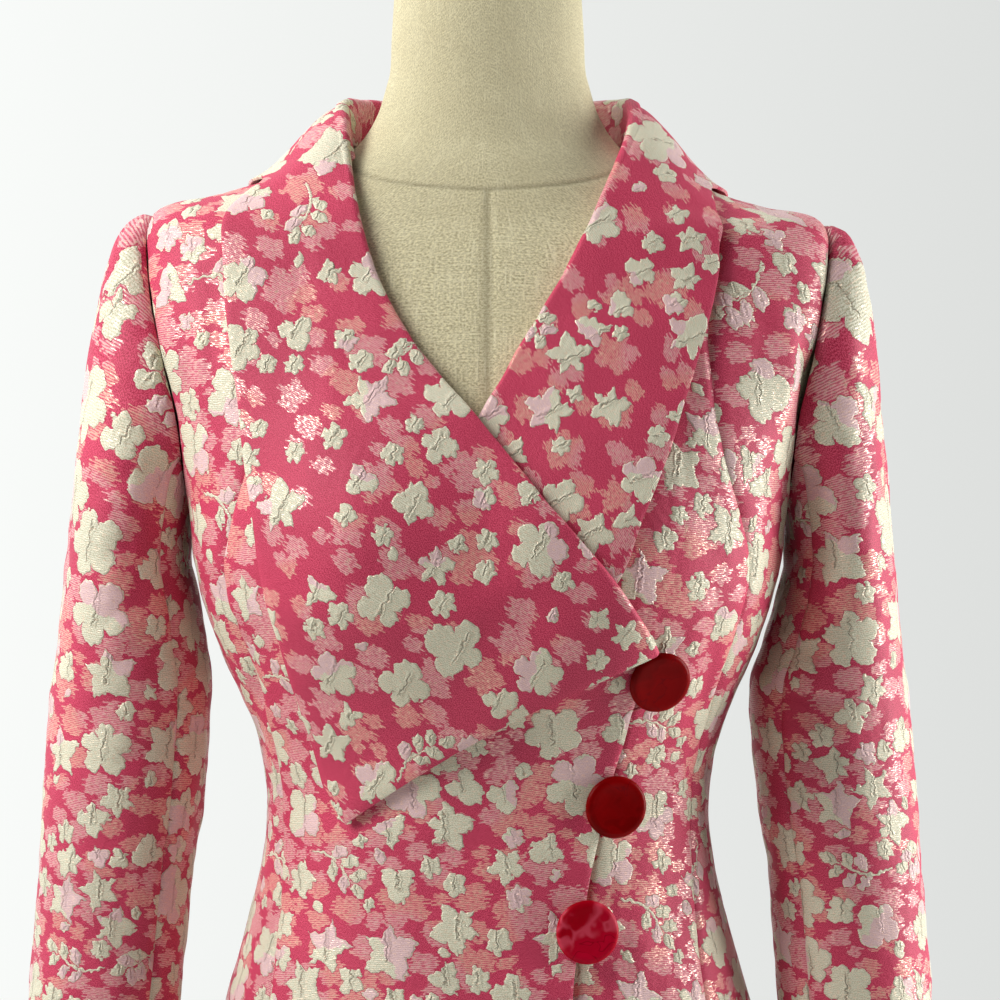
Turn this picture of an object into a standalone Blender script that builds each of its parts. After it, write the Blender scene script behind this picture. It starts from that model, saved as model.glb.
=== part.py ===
"""Fitted double-breasted jacket with a shawl collar, on a short limbless dress form.

Metres, +Z up. The front faces -Y and the wearer's left is +X. The origin is the
centre of the stand base's underside. Every cloth piece is a patch of one body
surface, given by the ring table below, or of a sleeve or collar that starts on it.
A place on the body is (angle, level): angle in degrees from the centre front,
positive towards +X, and level counts the rings of the table from the hem up.
"""

import math

import bpy
import numpy as np
from mathutils import Matrix, Vector

CLOTH = 0.0016          # thickness of the jacket's cloth
LEAST_SLANT = 0.3       # seams flatter than this to a row are treated as this steep
SEAM_GAP = 0.00044      # between neighbouring pieces along a seam
SHOULDER_GAP = 0.0018   # across the sharp bend of the shoulder seam
OVERLAP_LIFT = 0.0030   # how far the top front lies above the under front
CROSSING_LIFT = 0.0037  # and how much more where the left lapel lies between them
CROSSING = (0.012, 0.602, 0.084, 0.080)  # that region's x, z and half sizes
CROSSING_FULL, CROSSING_END = 0.86, 1.45  # parts of its half sizes: full lift, none
LAPEL_SPACING = 0.0037  # from a lapel's middle to the middle of the cloth under its edge

# The jacket's outer face. One row for each ring:
# side height, half width, front depth, back depth, front rise, back rise, squareness
RINGS = [
    (0.240, 0.166, 0.118, 0.124, 0.000, 0.000, 2.30),    # 0 hem
    (0.287, 0.160, 0.113, 0.121, 0.000, 0.000, 2.30),
    (0.334, 0.1515, 0.106, 0.112, 0.000, 0.000, 2.25),
    (0.380, 0.139, 0.099, 0.098, 0.000, 0.000, 2.20),
    (0.418, 0.130, 0.096, 0.088, 0.000, 0.000, 2.15),
    (0.450, 0.127, 0.095, 0.083, 0.000, 0.000, 2.15),    # 5 waist
    (0.481, 0.1305, 0.098, 0.083, 0.000, 0.000, 2.20),
    (0.511, 0.141, 0.106, 0.087, 0.000, 0.000, 2.30),
    (0.540, 0.154, 0.115, 0.092, 0.000, 0.000, 2.40),
    (0.566, 0.1625, 0.121, 0.096, 0.000, 0.000, 2.50),
    (0.592, 0.168, 0.122, 0.099, 0.000, 0.000, 2.55),    # 10 bust
    (0.622, 0.171, 0.119, 0.102, 0.000, 0.000, 2.60),    # 11 underarm
    (0.662, 0.181, 0.109, 0.104, 0.000, 0.000, 2.75),
    (0.703, 0.194, 0.096, 0.103, -0.002, 0.000, 2.85),
    (0.745, 0.199, 0.083, 0.097, -0.010, -0.004, 2.80),
    (0.7875, 0.1925, 0.073, 0.088, -0.026, -0.018, 2.60),  # 15 shoulder tip
    (0.798, 0.160, 0.067, 0.081, -0.022, -0.010, 2.40),
    (0.807, 0.130, 0.063, 0.074, -0.018, -0.002, 2.25),
    (0.816, 0.104, 0.060, 0.067, -0.014, 0.004, 2.15),
    (0.828, 0.081, 0.057, 0.060, -0.014, 0.008, 2.05),   # 19 neckline
    (0.845, 0.068, 0.052, 0.054, -0.018, 0.008, 2.00),
    (0.868, 0.060, 0.050, 0.050, -0.014, 0.006, 2.00),
]
UNDERARM, TIP, NECKLINE = 11, 15, 19  # levels of named rings
TOP_RING = len(RINGS) - 1
SIDE_TOP = 17.27  # last level of the side panels, which end along a ring at the shoulder
SHOULDER_START = 17.30  # from here up the fronts and backs reach the shoulder seam

# The soft fullness at each bust: side distance, height, depth, spread across, spread up
BUST_X, BUST_Z, BUST_RISE, BUST_SPREAD_X, BUST_SPREAD_Z = 0.082, 0.600, 0.009, 0.040, 0.048
LEFT_DROP = 0.0065  # the left shoulder sits lower than the right

# Seams that run the body's height, as (level, angle)
FRONT_PRINCESS = [(0, 50), (2.3, 52), (4, 60), (5, 63), (6, 62), (7.5, 57), (8.5, 55), (9.6, 54),
                  (10.8, 48.6), (11.6, 42), (12.4, 37), (13.4, 34), (15, 38), (16, 47), (17, 62),
                  (17.3, 67)]
BACK_PRINCESS = [(0, 144), (2.5, 145), (5, 147), (7.5, 144), (10, 140), (12, 141), (13.4, 145),
                 (15, 145), (16, 136), (17, 121), (17.3, 115)]
SIDE_SEAM = [(0, 94), (5, 94), (9, 92), (11, 90)]
ARMHOLE_FRONT, ARMHOLE_BACK = 30.0, 34.0  # half widths of the armhole in degrees

# Fold lines and free edges seen from the front, as (x, z), from the hem or the tip up
RIGHT_FRONT_EDGE = [(0.042, 0.240), (0.043, 0.300), (0.0455, 0.356), (0.0475, 0.376),
                    (0.0545, 0.417), (0.0600, 0.442), (0.070, 0.483), (0.073, 0.493),
                    (0.078, 0.513)]
LEFT_FRONT_EDGE = [(-0.042, 0.240), (-0.043, 0.300), (-0.0475, 0.376), (-0.0605, 0.442),
                   (-0.070, 0.483), (-0.074, 0.530), (-0.066, 0.575)]

# Wearer's right lapel, from its lower end up: fold x, fold z, edge x, edge z, fold radius
RIGHT_LAPEL = [
    (0.091, 0.544, -0.076, 0.448, 0.0036),
    (0.079, 0.563, -0.0875, 0.467, 0.0026),
    (0.067, 0.579, -0.094, 0.493, 0.0021),
    (0.049, 0.602, -0.102, 0.518, 0.0019),
    (0.029, 0.624, -0.110, 0.547, 0.0019),
    (0.009, 0.650, -0.118, 0.577, 0.0019),
    (-0.008, 0.670, -0.1225, 0.605, 0.0019),
    (-0.026, 0.690, -0.1275, 0.634, 0.0019),
    (-0.039, 0.707, -0.1315, 0.661, 0.0019),
    (-0.051, 0.726, -0.1355, 0.688, 0.0019),
    (-0.060, 0.745, -0.140, 0.715, 0.0020),
    (-0.067, 0.765, -0.1435, 0.741, 0.0021),
    (-0.0725, 0.787, -0.1455, 0.766, 0.0023),
    (-0.076, 0.808, -0.1415, 0.787, 0.0026),
]
# Wearer's left lapel, drawn on the other side. Its lower end is hidden.
LEFT_LAPEL = [
    (-0.038, 0.618, 0.046, 0.556, 0.0019),
    (-0.028, 0.633, 0.068, 0.580, 0.0019),
    (-0.016, 0.650, 0.079, 0.607, 0.0019),
    (-0.004, 0.668, 0.089, 0.631, 0.0019),
    (0.007, 0.686, 0.0985, 0.655, 0.0019),
    (0.017, 0.705, 0.107, 0.681, 0.0019),
    (0.029, 0.724, 0.1145, 0.704, 0.0019),
    (0.042, 0.746, 0.1215, 0.727, 0.0020),
    (0.052, 0.766, 0.126, 0.747, 0.0021),
    (0.0615, 0.786, 0.128, 0.767, 0.0023),
    (0.070, 0.807, 0.1265, 0.785, 0.0026),
]
# The collar from the side of the neck round to the centre back, for the wearer's left.
# fold x, y, z, edge angle, edge level, seam angle, seam level, fold radius
COLLAR = [
    (0.081, -0.025, 0.836, 66, 16.85, 54, 18.50, 0.0032),
    (0.084, 0.004, 0.854, 90, 16.75, 90, 19.04, 0.0038),
    (0.074, 0.036, 0.860, 120, 16.4, 122, 19.04, 0.0040),
    (0.043, 0.062, 0.862, 150, 16.3, 150, 19.04, 0.0040),
    (0.000, 0.073, 0.863, 180, 16.3, 180, 19.04, 0.0040),
]
COLLAR_ROUND, COLLAR_FLARE = 0.014, 0.018  # reach of the fall's curve at its fold and edge
CENTRE_BACK_INSET = 0.006  # part of a station's distance that leaves the centre-back gap
FOLD_ROOM = 0.0014  # past the fold's radius, to a front's own edge
FOLD_START = 0.25   # levels below a lapel's end over which its front narrows for it
NECK_END = 77.0     # angle where a front's neck edge nears the shoulder seam

# Sleeve below the armhole: height, inner side, outer side, middle depth, half depth
SLEEVE = [
    (0.585, 0.1725, 0.2395, 0.006, 0.062),
    (0.540, 0.1620, 0.2440, 0.006, 0.058),
    (0.511, 0.1560, 0.2480, 0.005, 0.053),
    (0.450, 0.1600, 0.2520, 0.002, 0.049),
    (0.411, 0.1660, 0.2545, -0.001, 0.047),
    (0.334, 0.1720, 0.2590, -0.008, 0.043),
    (0.265, 0.1765, 0.2625, -0.014, 0.041),
    (0.200, 0.1805, 0.2655, -0.020, 0.040),
]
SLEEVE_SPREAD = {"right": 0.0045, "left": -0.0045}  # the right sleeve hangs further out
FRONT_SLEEVE_SEAM, BACK_SLEEVE_SEAM = 135.0, 225.0  # degrees round from the top
CAP_STEPS = [0.0, 0.10, 0.24, 0.42, 0.62, 0.82]
SLEEVE_SEAM_INSET = 0.55  # degrees

# Buttons, from the top: x, z, how far each follows the slope of the cloth, and the height
# of its back over the under front
BUTTONS = [(0.0915, 0.527, 0.70, 0.0078), (0.0690, 0.458, 0.62, 0.0066),
           (0.0535, 0.392, 0.62, 0.0066)]
BUTTON_RADIUS, BUTTON_THICKNESS, SHANK_RADIUS = 0.0170, 0.0042, 0.0024
SHANK_END = 0.0011      # from the under front's face to the shank
LOOP_RADIUS = 0.0009
LOOP_ABOVE, LOOP_BELOW, LOOP_REACH = 0.007, 0.0165, 0.0062
LOOP_START, LOOP_LIFT = 0.0016, 0.0016  # from the top front's edge, and over the under front

# Form and stand
FORM_GAPS = [(0, 0.012), (2, 0.008), (4, 0.0035), (5, 0.003), (8, 0.0024), (12, 0.0026),
             (15, 0.0028), (16, 0.0030), (19, 0.0026), (21, 0.0016)]  # level, from the cloth's inner face
FORM_SIDES = 28
FORM_NECK_ROWS = [16.5, 17, 17.5, 18, 18.5, 19, 19.5, 20, 20.5, 21]
FORM_BOTTOM = 0.70      # level of the form's flat underside
NECK = [(0.890, 0.0555, 0.050, 0.048), (0.915, 0.0540, 0.050, 0.047),
        (0.934, 0.0530, 0.049, 0.047)]  # height, half width, front depth, back depth
CAP_HEIGHT, CAP_EDGE = 0.011, 0.0035
POLE_RADIUS = 0.0125
BASE_RADIUS, BASE_HEIGHT, BASE_EDGE = 0.150, 0.020, 0.004
FIT_GAP = 0.0003

BODY_ROWS_LOW = [0, 1, 2, 3, 4, 5, 6, 7, 8, 9, 10]
ARMHOLE_STEPS = 8       # rows and sleeve points along half the armhole
YOKE_ROWS = [15.7, 16.5, 17.0, SIDE_TOP, 17.33, 17.9, 18.4, 18.95]


# ---------------------------------------------------------------- smooth tables

def smooth_row(table, place):
    """A row of the table at a fractional row number, on a curve through all rows."""
    last = len(table) - 1
    place = min(max(place, 0.0), float(last))
    i = min(int(place), last - 1)
    t = place - i
    b, c = table[i], table[i + 1]
    a = table[i - 1] if i > 0 else 2 * b - c
    d = table[i + 2] if i + 2 <= last else 2 * c - b
    return 0.5 * (2 * b + (c - a) * t + (2 * a - 5 * b + 4 * c - d) * t * t
                  + (3 * b - a - 3 * c + d) * t ** 3)


def along(pairs, place):
    """The second column of (place, value) pairs, eased through each pair."""
    if place <= pairs[0][0]:
        return pairs[0][1]
    for i in range(len(pairs) - 1):
        p0, p1 = pairs[i][0], pairs[i + 1][0]
        if place <= p1:
            before = pairs[max(i - 1, 0)]
            after = pairs[min(i + 2, len(pairs) - 1)]
            t = (place - p0) / (p1 - p0)
            slope0 = (pairs[i + 1][1] - before[1]) / (p1 - before[0]) * (p1 - p0)
            slope1 = (after[1] - pairs[i][1]) / (after[0] - p0) * (p1 - p0)
            h = t * t * (3 - 2 * t)
            return (pairs[i][1] * (1 - h) + pairs[i + 1][1] * h
                    + slope0 * t * (1 - t) ** 2 - slope1 * t * t * (1 - t))
    return pairs[-1][1]


def ease(low, high, value):
    """0 below low, 1 above high and smooth between."""
    t = min(max((value - low) / (high - low), 0.0), 1.0)
    return t * t * (3 - 2 * t)


# ---------------------------------------------------------------- body surface

RING_ROWS = [np.array(row) for row in RINGS]


def skin(angle, level):
    """The jacket's outer face at a place."""
    height, half, front, back, front_rise, back_rise, square = smooth_row(RING_ROWS, level)
    s, c = math.sin(math.radians(angle)), math.cos(math.radians(angle))
    k = (abs(s) ** square + abs(c) ** square) ** (-1 / square)
    x = half * s * k
    y = -(front if c > 0 else back) * c * k
    z = height + (front_rise if c > 0 else back_rise) * c * c
    if c > 0:
        across = (abs(x) - BUST_X) / BUST_SPREAD_X
        up = (z - BUST_Z) / BUST_SPREAD_Z
        y -= BUST_RISE * math.exp(-(across ** 2 + up ** 2) / 2)
    z -= LEFT_DROP * ease(0.075, 0.150, x) * ease(0.735, 0.790, z)
    return np.array([x, y, z])


def unit(vector):
    return vector / np.linalg.norm(vector)


def skin_normal(angle, level):
    step_a, step_v = 0.5, 0.02
    low, high = max(level - step_v, 0.0), min(level + step_v, float(TOP_RING))
    da = skin(angle + step_a, level) - skin(angle - step_a, level)
    dv = skin(angle, high) - skin(angle, low)
    return unit(np.cross(da, dv))


def body(angle, level, lift=0.0):
    """A point at a height over the outer face."""
    return skin(angle, level) + skin_normal(angle, level) * lift


def on_front(x, z, lift=0.0):
    """The (angle, level) on the front under a point of the front view."""
    angle, level = x / 0.16 * 60, 10.0
    for _ in range(60):
        here = body(angle, level, lift)
        miss = np.array([here[0] - x, here[2] - z])
        if abs(miss).max() < 1e-7:
            break
        da = (body(angle + 0.3, level, lift) - here) / 0.3
        dv = (body(angle, level + 0.02, lift) - here) / 0.02
        move = np.linalg.solve([[da[0], dv[0]], [da[2], dv[2]]], -miss)
        angle += min(max(move[0], -8.0), 8.0)
        level = min(max(level + min(max(move[1], -0.7), 0.7), 0.0), TOP_RING - 0.03)
    return angle, level


def inset(bound, sign, level, distance):
    """Degrees that keep a distance from a boundary, measured square to it."""
    angle = sign * bound(level)
    row = skin(angle + 0.5, level) - skin(angle - 0.5, level)
    low, high = max(level - 0.04, 0.0), min(level + 0.04, float(TOP_RING))
    edge = skin(sign * bound(high), high) - skin(sign * bound(low), low)
    slant = np.linalg.norm(np.cross(unit(row), unit(edge)))
    return distance / np.linalg.norm(row) / max(slant, LEAST_SLANT)


# ---------------------------------------------------------------- layers

def edge_curve(points, lift=0.0):
    """(level, angle) pairs of an outline that is given in the front view."""
    return sorted((on_front(x, z, lift)[::-1] for x, z in points), key=lambda pair: pair[0])


CENTRE = -CLOTH / 2  # lift of the middle of the cloth of a piece on the body itself

FRONTS = {"left": (LEFT_FRONT_EDGE, LEFT_LAPEL, CENTRE, NECK_END),
          "right": (RIGHT_FRONT_EDGE, RIGHT_LAPEL, OVERLAP_LIFT, -NECK_END)}
front_edges = {}  # for each side, (level, angle) of its free edge and (level, fold radius)
for side_name, (free, lapel, raised, last_angle) in FRONTS.items():
    fold_line = [(row[0], row[1]) for row in lapel]
    fold_levels = sorted((on_front(row[0], row[1], raised)[1], row[4]) for row in lapel)
    line = edge_curve(free + fold_line, raised) + [(NECKLINE - 0.05, last_angle)]
    front_edges[side_name] = (line, fold_levels)


def top_lift(angle, level):
    """Lift of the middle of the top front, which climbs over the under front."""
    seam = -along(FRONT_PRINCESS, level)
    under_edge = along(front_edges["left"][0], min(level, 10.0))
    over = ease(seam + 3, min(under_edge, -20.0) - 2, angle) * ease(13.4, 11.8, level)
    x, _, z = skin(angle, level)
    centre_x, centre_z, half_x, half_z = CROSSING
    reach = math.hypot((x - centre_x) / half_x, (z - centre_z) / half_z)
    crossing = ease(CROSSING_END, CROSSING_FULL, reach)
    return CENTRE + OVERLAP_LIFT * over + CROSSING_LIFT * crossing * over


def plain_lift(angle, level):
    return CENTRE


# ---------------------------------------------------------------- objects

def collection(name):
    made = bpy.data.collections.new(name)
    bpy.context.scene.collection.children.link(made)
    return made


def material(name, colour, roughness, metallic=0.0):
    made = bpy.data.materials.new(name)
    made.use_nodes = True
    shader = made.node_tree.nodes["Principled BSDF"]
    shader.inputs["Base Color"].default_value = (*colour, 1.0)
    shader.inputs["Roughness"].default_value = roughness
    shader.inputs["Metallic"].default_value = metallic
    made.diffuse_color = (*colour, 1.0)
    return made


def add_object(name, data, finish):
    made = bpy.data.objects.new(name, data)
    data.materials.append(finish)
    jacket.objects.link(made)
    return made


def add_mesh(name, points, faces, finish):
    mesh = bpy.data.meshes.new(name)
    mesh.from_pydata([tuple(p) for p in points], [], faces)
    mesh.validate()
    mesh.shade_smooth()
    return add_object(name, mesh, finish)


def add_cloth(name, rows, finish):
    """Cloth from rows of points through its middle, thickened both ways."""
    width = len(rows[0])
    points = [p for row in rows for p in row]
    faces = []
    for i in range(len(rows) - 1):
        for j in range(width - 1):
            k = i * width + j
            faces.append((k, k + 1, k + width + 1, k + width))
    made = add_mesh(name, points, faces, finish)
    wall = made.modifiers.new("cloth", "SOLIDIFY")
    wall.thickness = CLOTH
    wall.offset = 0.0
    return made


# ---------------------------------------------------------------- body panels

def armhole_level(turn):
    """Level of the armhole's seam, turn degrees round from the shoulder tip."""
    middle, half = (TIP + UNDERARM) / 2, (TIP - UNDERARM) / 2
    return middle + half * math.cos(math.radians(turn))


def armhole_angle(level, side):
    """Angle of the armhole's seam at a level, on its front (-1) or back (+1)."""
    middle, half = (TIP + UNDERARM) / 2, (TIP - UNDERARM) / 2
    across = math.sqrt(max(0.0, 1 - ((level - middle) / half) ** 2))
    return 90 + side * across * (ARMHOLE_BACK if side > 0 else ARMHOLE_FRONT)


def body_rows():
    turns = [180 * (1 - i / ARMHOLE_STEPS) for i in range(ARMHOLE_STEPS + 1)]
    return BODY_ROWS_LOW + [armhole_level(turn) for turn in turns] + YOKE_ROWS


def outer_bound(side):
    """Angle of a half body's boundary at the side: side seam, armhole or shoulder seam."""
    def at(level):
        if level < UNDERARM:
            return along(SIDE_SEAM, level)
        if level <= TIP:
            return armhole_angle(level, side)
        return 90.0
    return at


def no_room(level):
    return 0.0


def add_panel(name, low, high, columns, lift, top=NECKLINE, mirrored=False, low_room=no_room):
    """A body panel between two boundaries that give an angle for each level."""
    sign = -1 if mirrored else 1
    rows = []
    for level in body_rows():
        if level > top + 1e-6:
            break
        gap = SHOULDER_GAP if level > TIP - 0.2 else SEAM_GAP
        first = low(level) + inset(low, sign, level, gap / 2 + low_room(level))
        last = high(level) - inset(high, sign, level, gap / 2)
        angles = [sign * (first + (last - first) * j / columns) for j in range(columns + 1)]
        if mirrored:
            angles.reverse()
        rows.append([body(a, level, lift(a, level)) for a in angles])
    return add_cloth(name, rows, cloth)


def add_body():
    def seam(pairs):
        return lambda level: along(pairs, level)

    def shoulder_or(pairs):
        return lambda level: along(pairs, level) if level < SHOULDER_START else 90.0

    for side, mirrored in (("left", False), ("right", True)):
        add_panel(f"{side}_side_front", seam(FRONT_PRINCESS), outer_bound(-1), 4, plain_lift,
                  SIDE_TOP, mirrored)
        add_panel(f"{side}_side_back", outer_bound(1), seam(BACK_PRINCESS), 4, plain_lift,
                  SIDE_TOP, mirrored)
        add_panel(f"{side}_back", shoulder_or(BACK_PRINCESS), lambda level: 180.0, 5, plain_lift,
                  NECKLINE, mirrored)

    for side, lift in (("left", plain_lift), ("right", top_lift)):
        edge, folds = front_edges[side]
        sign = 1 if side == "left" else -1

        def free_edge(level, edge=edge, sign=sign):
            return sign * along(edge, level)

        def fold_room(level, folds=folds):
            return (along(folds, level) + FOLD_ROOM) * ease(-FOLD_START, 0.0, level - folds[0][0])

        add_panel(f"{side}_front", free_edge, shoulder_or(FRONT_PRINCESS), 8, lift, NECKLINE,
                  side == "right", fold_room)


# ---------------------------------------------------------------- lapels and collar

# Columns of a station: fold, edge and seam points, fold and edge places, radius, standing
FOLD, EDGE, SEAM, FOLD_AT, EDGE_AT = (slice(0, 3), slice(3, 6), slice(6, 9), slice(9, 11),
                                      slice(11, 13))
RADIUS, STANDING = 13, 14


def collar_stations(side):
    """Stations of one lapel and its half of the collar, from the lower end to the back."""
    sign = 1 if side == "left" else -1
    lift = plain_lift if side == "left" else top_lift
    table = LEFT_LAPEL if side == "left" else RIGHT_LAPEL
    stations = []
    for i, (fold_x, fold_z, edge_x, edge_z, radius) in enumerate(table):
        fold_at = on_front(fold_x, fold_z, lift(*on_front(fold_x, fold_z)) + radius)
        edge_at = on_front(edge_x, edge_z, lift(*on_front(edge_x, edge_z)) + LAPEL_SPACING)
        fold = body(*fold_at, lift(*fold_at) + radius)
        edge = body(*edge_at, lift(*edge_at) + LAPEL_SPACING)
        standing = 0.25 if i == len(table) - 1 else 0.0
        stations.append(np.concatenate([fold, edge, fold, fold_at, edge_at, [radius, standing]]))
    for i, row in enumerate(COLLAR):
        fold = np.array([sign * row[0], row[1], row[2]])
        edge_at = np.array([sign * row[3], row[4]])
        seam_at = np.array([sign * row[5], row[6]])
        edge = body(*edge_at, CENTRE + LAPEL_SPACING)
        seam = body(*seam_at, CENTRE)
        standing = 0.75 if i == 0 else 1.0
        stations.append(np.concatenate([fold, edge, seam, seam_at, edge_at, [row[7], standing]]))
    past_back = stations[-2].copy()  # the other half's first station, for a smooth centre back
    past_back[[0, 3, 6]] *= -1
    past_back[[9, 11]] = 2 * stations[-1][[9, 11]] - stations[-2][[9, 11]]
    return stations + [past_back]


def collar_rib(stations, place, lift, turn_steps, fall_steps):
    """Points through the cloth from its seam over the fold to its free edge."""
    row = smooth_row(stations, place)
    ahead = smooth_row(stations, place + 0.05)[FOLD] - smooth_row(stations, place - 0.05)[FOLD]
    ahead = unit(ahead)
    radius, standing = row[RADIUS], min(max(row[STANDING], 0.0), 1.0)
    fold_at, edge_at = row[FOLD_AT], row[EDGE_AT]
    away = unit(np.cross(ahead, skin_normal(*fold_at)))
    if np.dot(away, row[FOLD] - row[EDGE]) < 0:
        away = -away
    up = np.array([0.0, 0.0, 1.0])
    up = unit(up - ahead * np.dot(up, ahead))
    away = unit(away * (1 - standing) + up * standing)
    outward = unit(np.cross(ahead, away))
    if np.dot(outward, np.array([row[FOLD][0], row[FOLD][1], 0.0])) < 0:
        outward = -outward

    centre = row[FOLD] - away * radius
    start = centre - outward * radius
    seam = start + (row[SEAM] - start) * ease(0.1, 0.7, standing) - away * SEAM_GAP / 3
    stand = np.linalg.norm(start - seam)
    turn = math.pi * radius
    points = []
    for i in range(turn_steps):
        way = (stand + turn) * i / turn_steps
        if way <= stand:
            points.append(seam + (start - seam) * way / max(stand, 1e-6))
        else:
            bend = (way - stand) / radius
            points.append(centre - outward * radius * math.cos(bend)
                          + away * radius * math.sin(bend))

    first = centre + outward * radius
    rise = body(*edge_at) - body(edge_at[0], edge_at[1] - 0.1)
    over = [first, first + outward * COLLAR_ROUND - away * COLLAR_ROUND * 0.3,
            row[EDGE] + unit(rise) * COLLAR_FLARE, row[EDGE]]
    begin = body(*fold_at, lift(*fold_at) + 2 * radius)
    for i in range(fall_steps + 1):
        t = i / fall_steps
        at = fold_at + (edge_at - fold_at) * t
        laid = body(*at, lift(*at) + 2 * radius * (1 - t) + LAPEL_SPACING * t)
        laid = laid + (first - begin) * (1 - t) ** 2
        q = 1 - t
        hung = (over[0] * q ** 3 + over[1] * 3 * q * q * t + over[2] * 3 * q * t * t
                + over[3] * t ** 3)
        points.append(laid * (1 - standing) + hung * standing)
    return points


def lapel_places(stations):
    """Where the fold crosses the rows of the front's own mesh, so that both edges agree."""
    levels = [station[FOLD_AT][1] for station in stations]
    places = [0.0]
    for level in body_rows():
        if not levels[0] + 0.2 < level < levels[-1] - 0.05:
            continue
        i = max(k for k in range(len(levels) - 1) if levels[k] <= level)
        low, high = float(i), i + 1.0
        for _ in range(30):
            middle = (low + high) / 2
            if smooth_row(stations, middle)[FOLD_AT][1] < level:
                low = middle
            else:
                high = middle
        places.append(low)
    return places + [len(levels) - 1.0]


def add_lapels():
    for side, lift, fall_steps in (("left", plain_lift, 7), ("right", top_lift, 8)):
        stations = collar_stations(side)
        lapel_rows = len(stations) - len(COLLAR) - 1
        back = len(stations) - 2
        places = lapel_places(stations[:lapel_rows])
        places += [lapel_rows - 1 + 0.5 * (i + 1) for i in range(2 * len(COLLAR))]
        places[-1] = back - CENTRE_BACK_INSET
        ribs = [collar_rib(stations, place, lift, 5, fall_steps) for place in places]
        if side == "right":
            ribs.reverse()
        add_cloth(f"{side}_lapel", ribs, cloth)


# ---------------------------------------------------------------- sleeves

SLEEVE_ROWS = [np.array(row) for row in SLEEVE]


def sleeve_ring(side, place, turn):
    """Middle of the sleeve's cloth below the armhole, turn degrees round from the outside."""
    z, inner, outer, depth, half_depth = smooth_row(SLEEVE_ROWS, place)
    inner += SLEEVE_SPREAD[side] * ease(0.575, 0.50, z)
    outer += SLEEVE_SPREAD[side]
    half = (outer - inner) / 2 - CLOTH / 2
    around = math.radians(turn)
    x = (inner + outer) / 2 + half * math.cos(around)
    y = depth - (half_depth - CLOTH / 2) * math.sin(around)
    return np.array([x if side == "left" else -x, y, z])


def sleeve_cap(side, t, turn):
    """Middle of the cloth between the armhole's seam (t = 0) and the first sleeve ring."""
    sign = 1 if side == "left" else -1
    around = math.radians(turn)
    sine, cosine = math.sin(around), math.cos(around)
    spread = ARMHOLE_FRONT if sine > 0 else ARMHOLE_BACK
    seam = body(sign * (90 - spread * sine), armhole_level(turn), SEAM_GAP + CLOTH * 0.35)
    ring = sleeve_ring(side, 0.0, turn)
    out = unit(np.array([sign, -0.45 * sine, 0.22 * cosine]))
    head = 0.003 + 0.0125 * (1 + cosine)
    hang = 0.008 + 0.055 * (1 + cosine)
    lean = np.array([-sign * 0.13 * (1 + cosine) / 2, 0.0, 1.0])
    c1, c2 = seam + out * head, ring + lean * hang
    q = 1 - t
    return seam * q ** 3 + c1 * 3 * q * q * t + c2 * 3 * q * t * t + ring * t ** 3


def add_sleeves():
    step = 180 / ARMHOLE_STEPS
    pieces = {"upper": (BACK_SLEEVE_SEAM - 360, FRONT_SLEEVE_SEAM),
              "under": (FRONT_SLEEVE_SEAM, BACK_SLEEVE_SEAM)}
    for side in ("left", "right"):
        for piece, (low, high) in pieces.items():
            count = round((high - low) / step)
            turns = [low + step * i for i in range(count + 1)]
            turns[0] += SLEEVE_SEAM_INSET
            turns[-1] -= SLEEVE_SEAM_INSET
            if side == "left":
                turns.reverse()
            rows = [[sleeve_cap(side, t, turn) for turn in turns] for t in CAP_STEPS]
            rows += [[sleeve_ring(side, i, turn) for turn in turns] for i in range(len(SLEEVE))]
            rows.reverse()
            add_cloth(f"{side}_{piece}_sleeve", rows, cloth)


# ---------------------------------------------------------------- buttons and loops

def add_buttons():
    rim, thick = BUTTON_RADIUS, BUTTON_THICKNESS
    for i, (x, z, lean, back) in enumerate(BUTTONS):
        profile = [(0.0, back + 0.86 * thick), (0.40 * rim, back + 0.88 * thick),
                   (0.72 * rim, back + thick), (0.88 * rim, back + 0.95 * thick),
                   (0.98 * rim, back + 0.72 * thick), (rim, back + 0.48 * thick),
                   (0.96 * rim, back + 0.20 * thick), (0.84 * rim, back),
                   (SHANK_RADIUS, back), (SHANK_RADIUS, SHANK_END), (0.0, SHANK_END)]
        facing = skin_normal(*on_front(x, z, back)) * lean + np.array([0.0, lean - 1.0, 0.0])
        facing = facing / np.linalg.norm(facing)
        place = on_front(x - back * facing[0], z - back * facing[2], 0.0)
        mesh = bpy.data.meshes.new(f"button_{i + 1}")
        mesh.from_pydata([(r, 0.0, h) for r, h in profile],
                         [(k, k + 1) for k in range(len(profile) - 1)], [])
        made = add_object(f"button_{i + 1}", mesh, red_plastic)
        turned = made.modifiers.new("turned", "SCREW")
        turned.steps = turned.render_steps = 16
        turned.use_merge_vertices = True
        turned.merge_threshold = 0.0001
        turned.use_smooth_shade = True
        turn = Vector((0, 0, 1)).rotation_difference(Vector(facing))
        made.matrix_world = Matrix.Translation(body(*place)) @ turn.to_matrix().to_4x4()


def top_edge_x(z):
    """Where the top front's edge lies in the front view, at a height below the fold."""
    rows = sorted((height, x) for x, height in RIGHT_FRONT_EDGE + [RIGHT_LAPEL[0][:2]])
    return along(rows, z)


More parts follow.
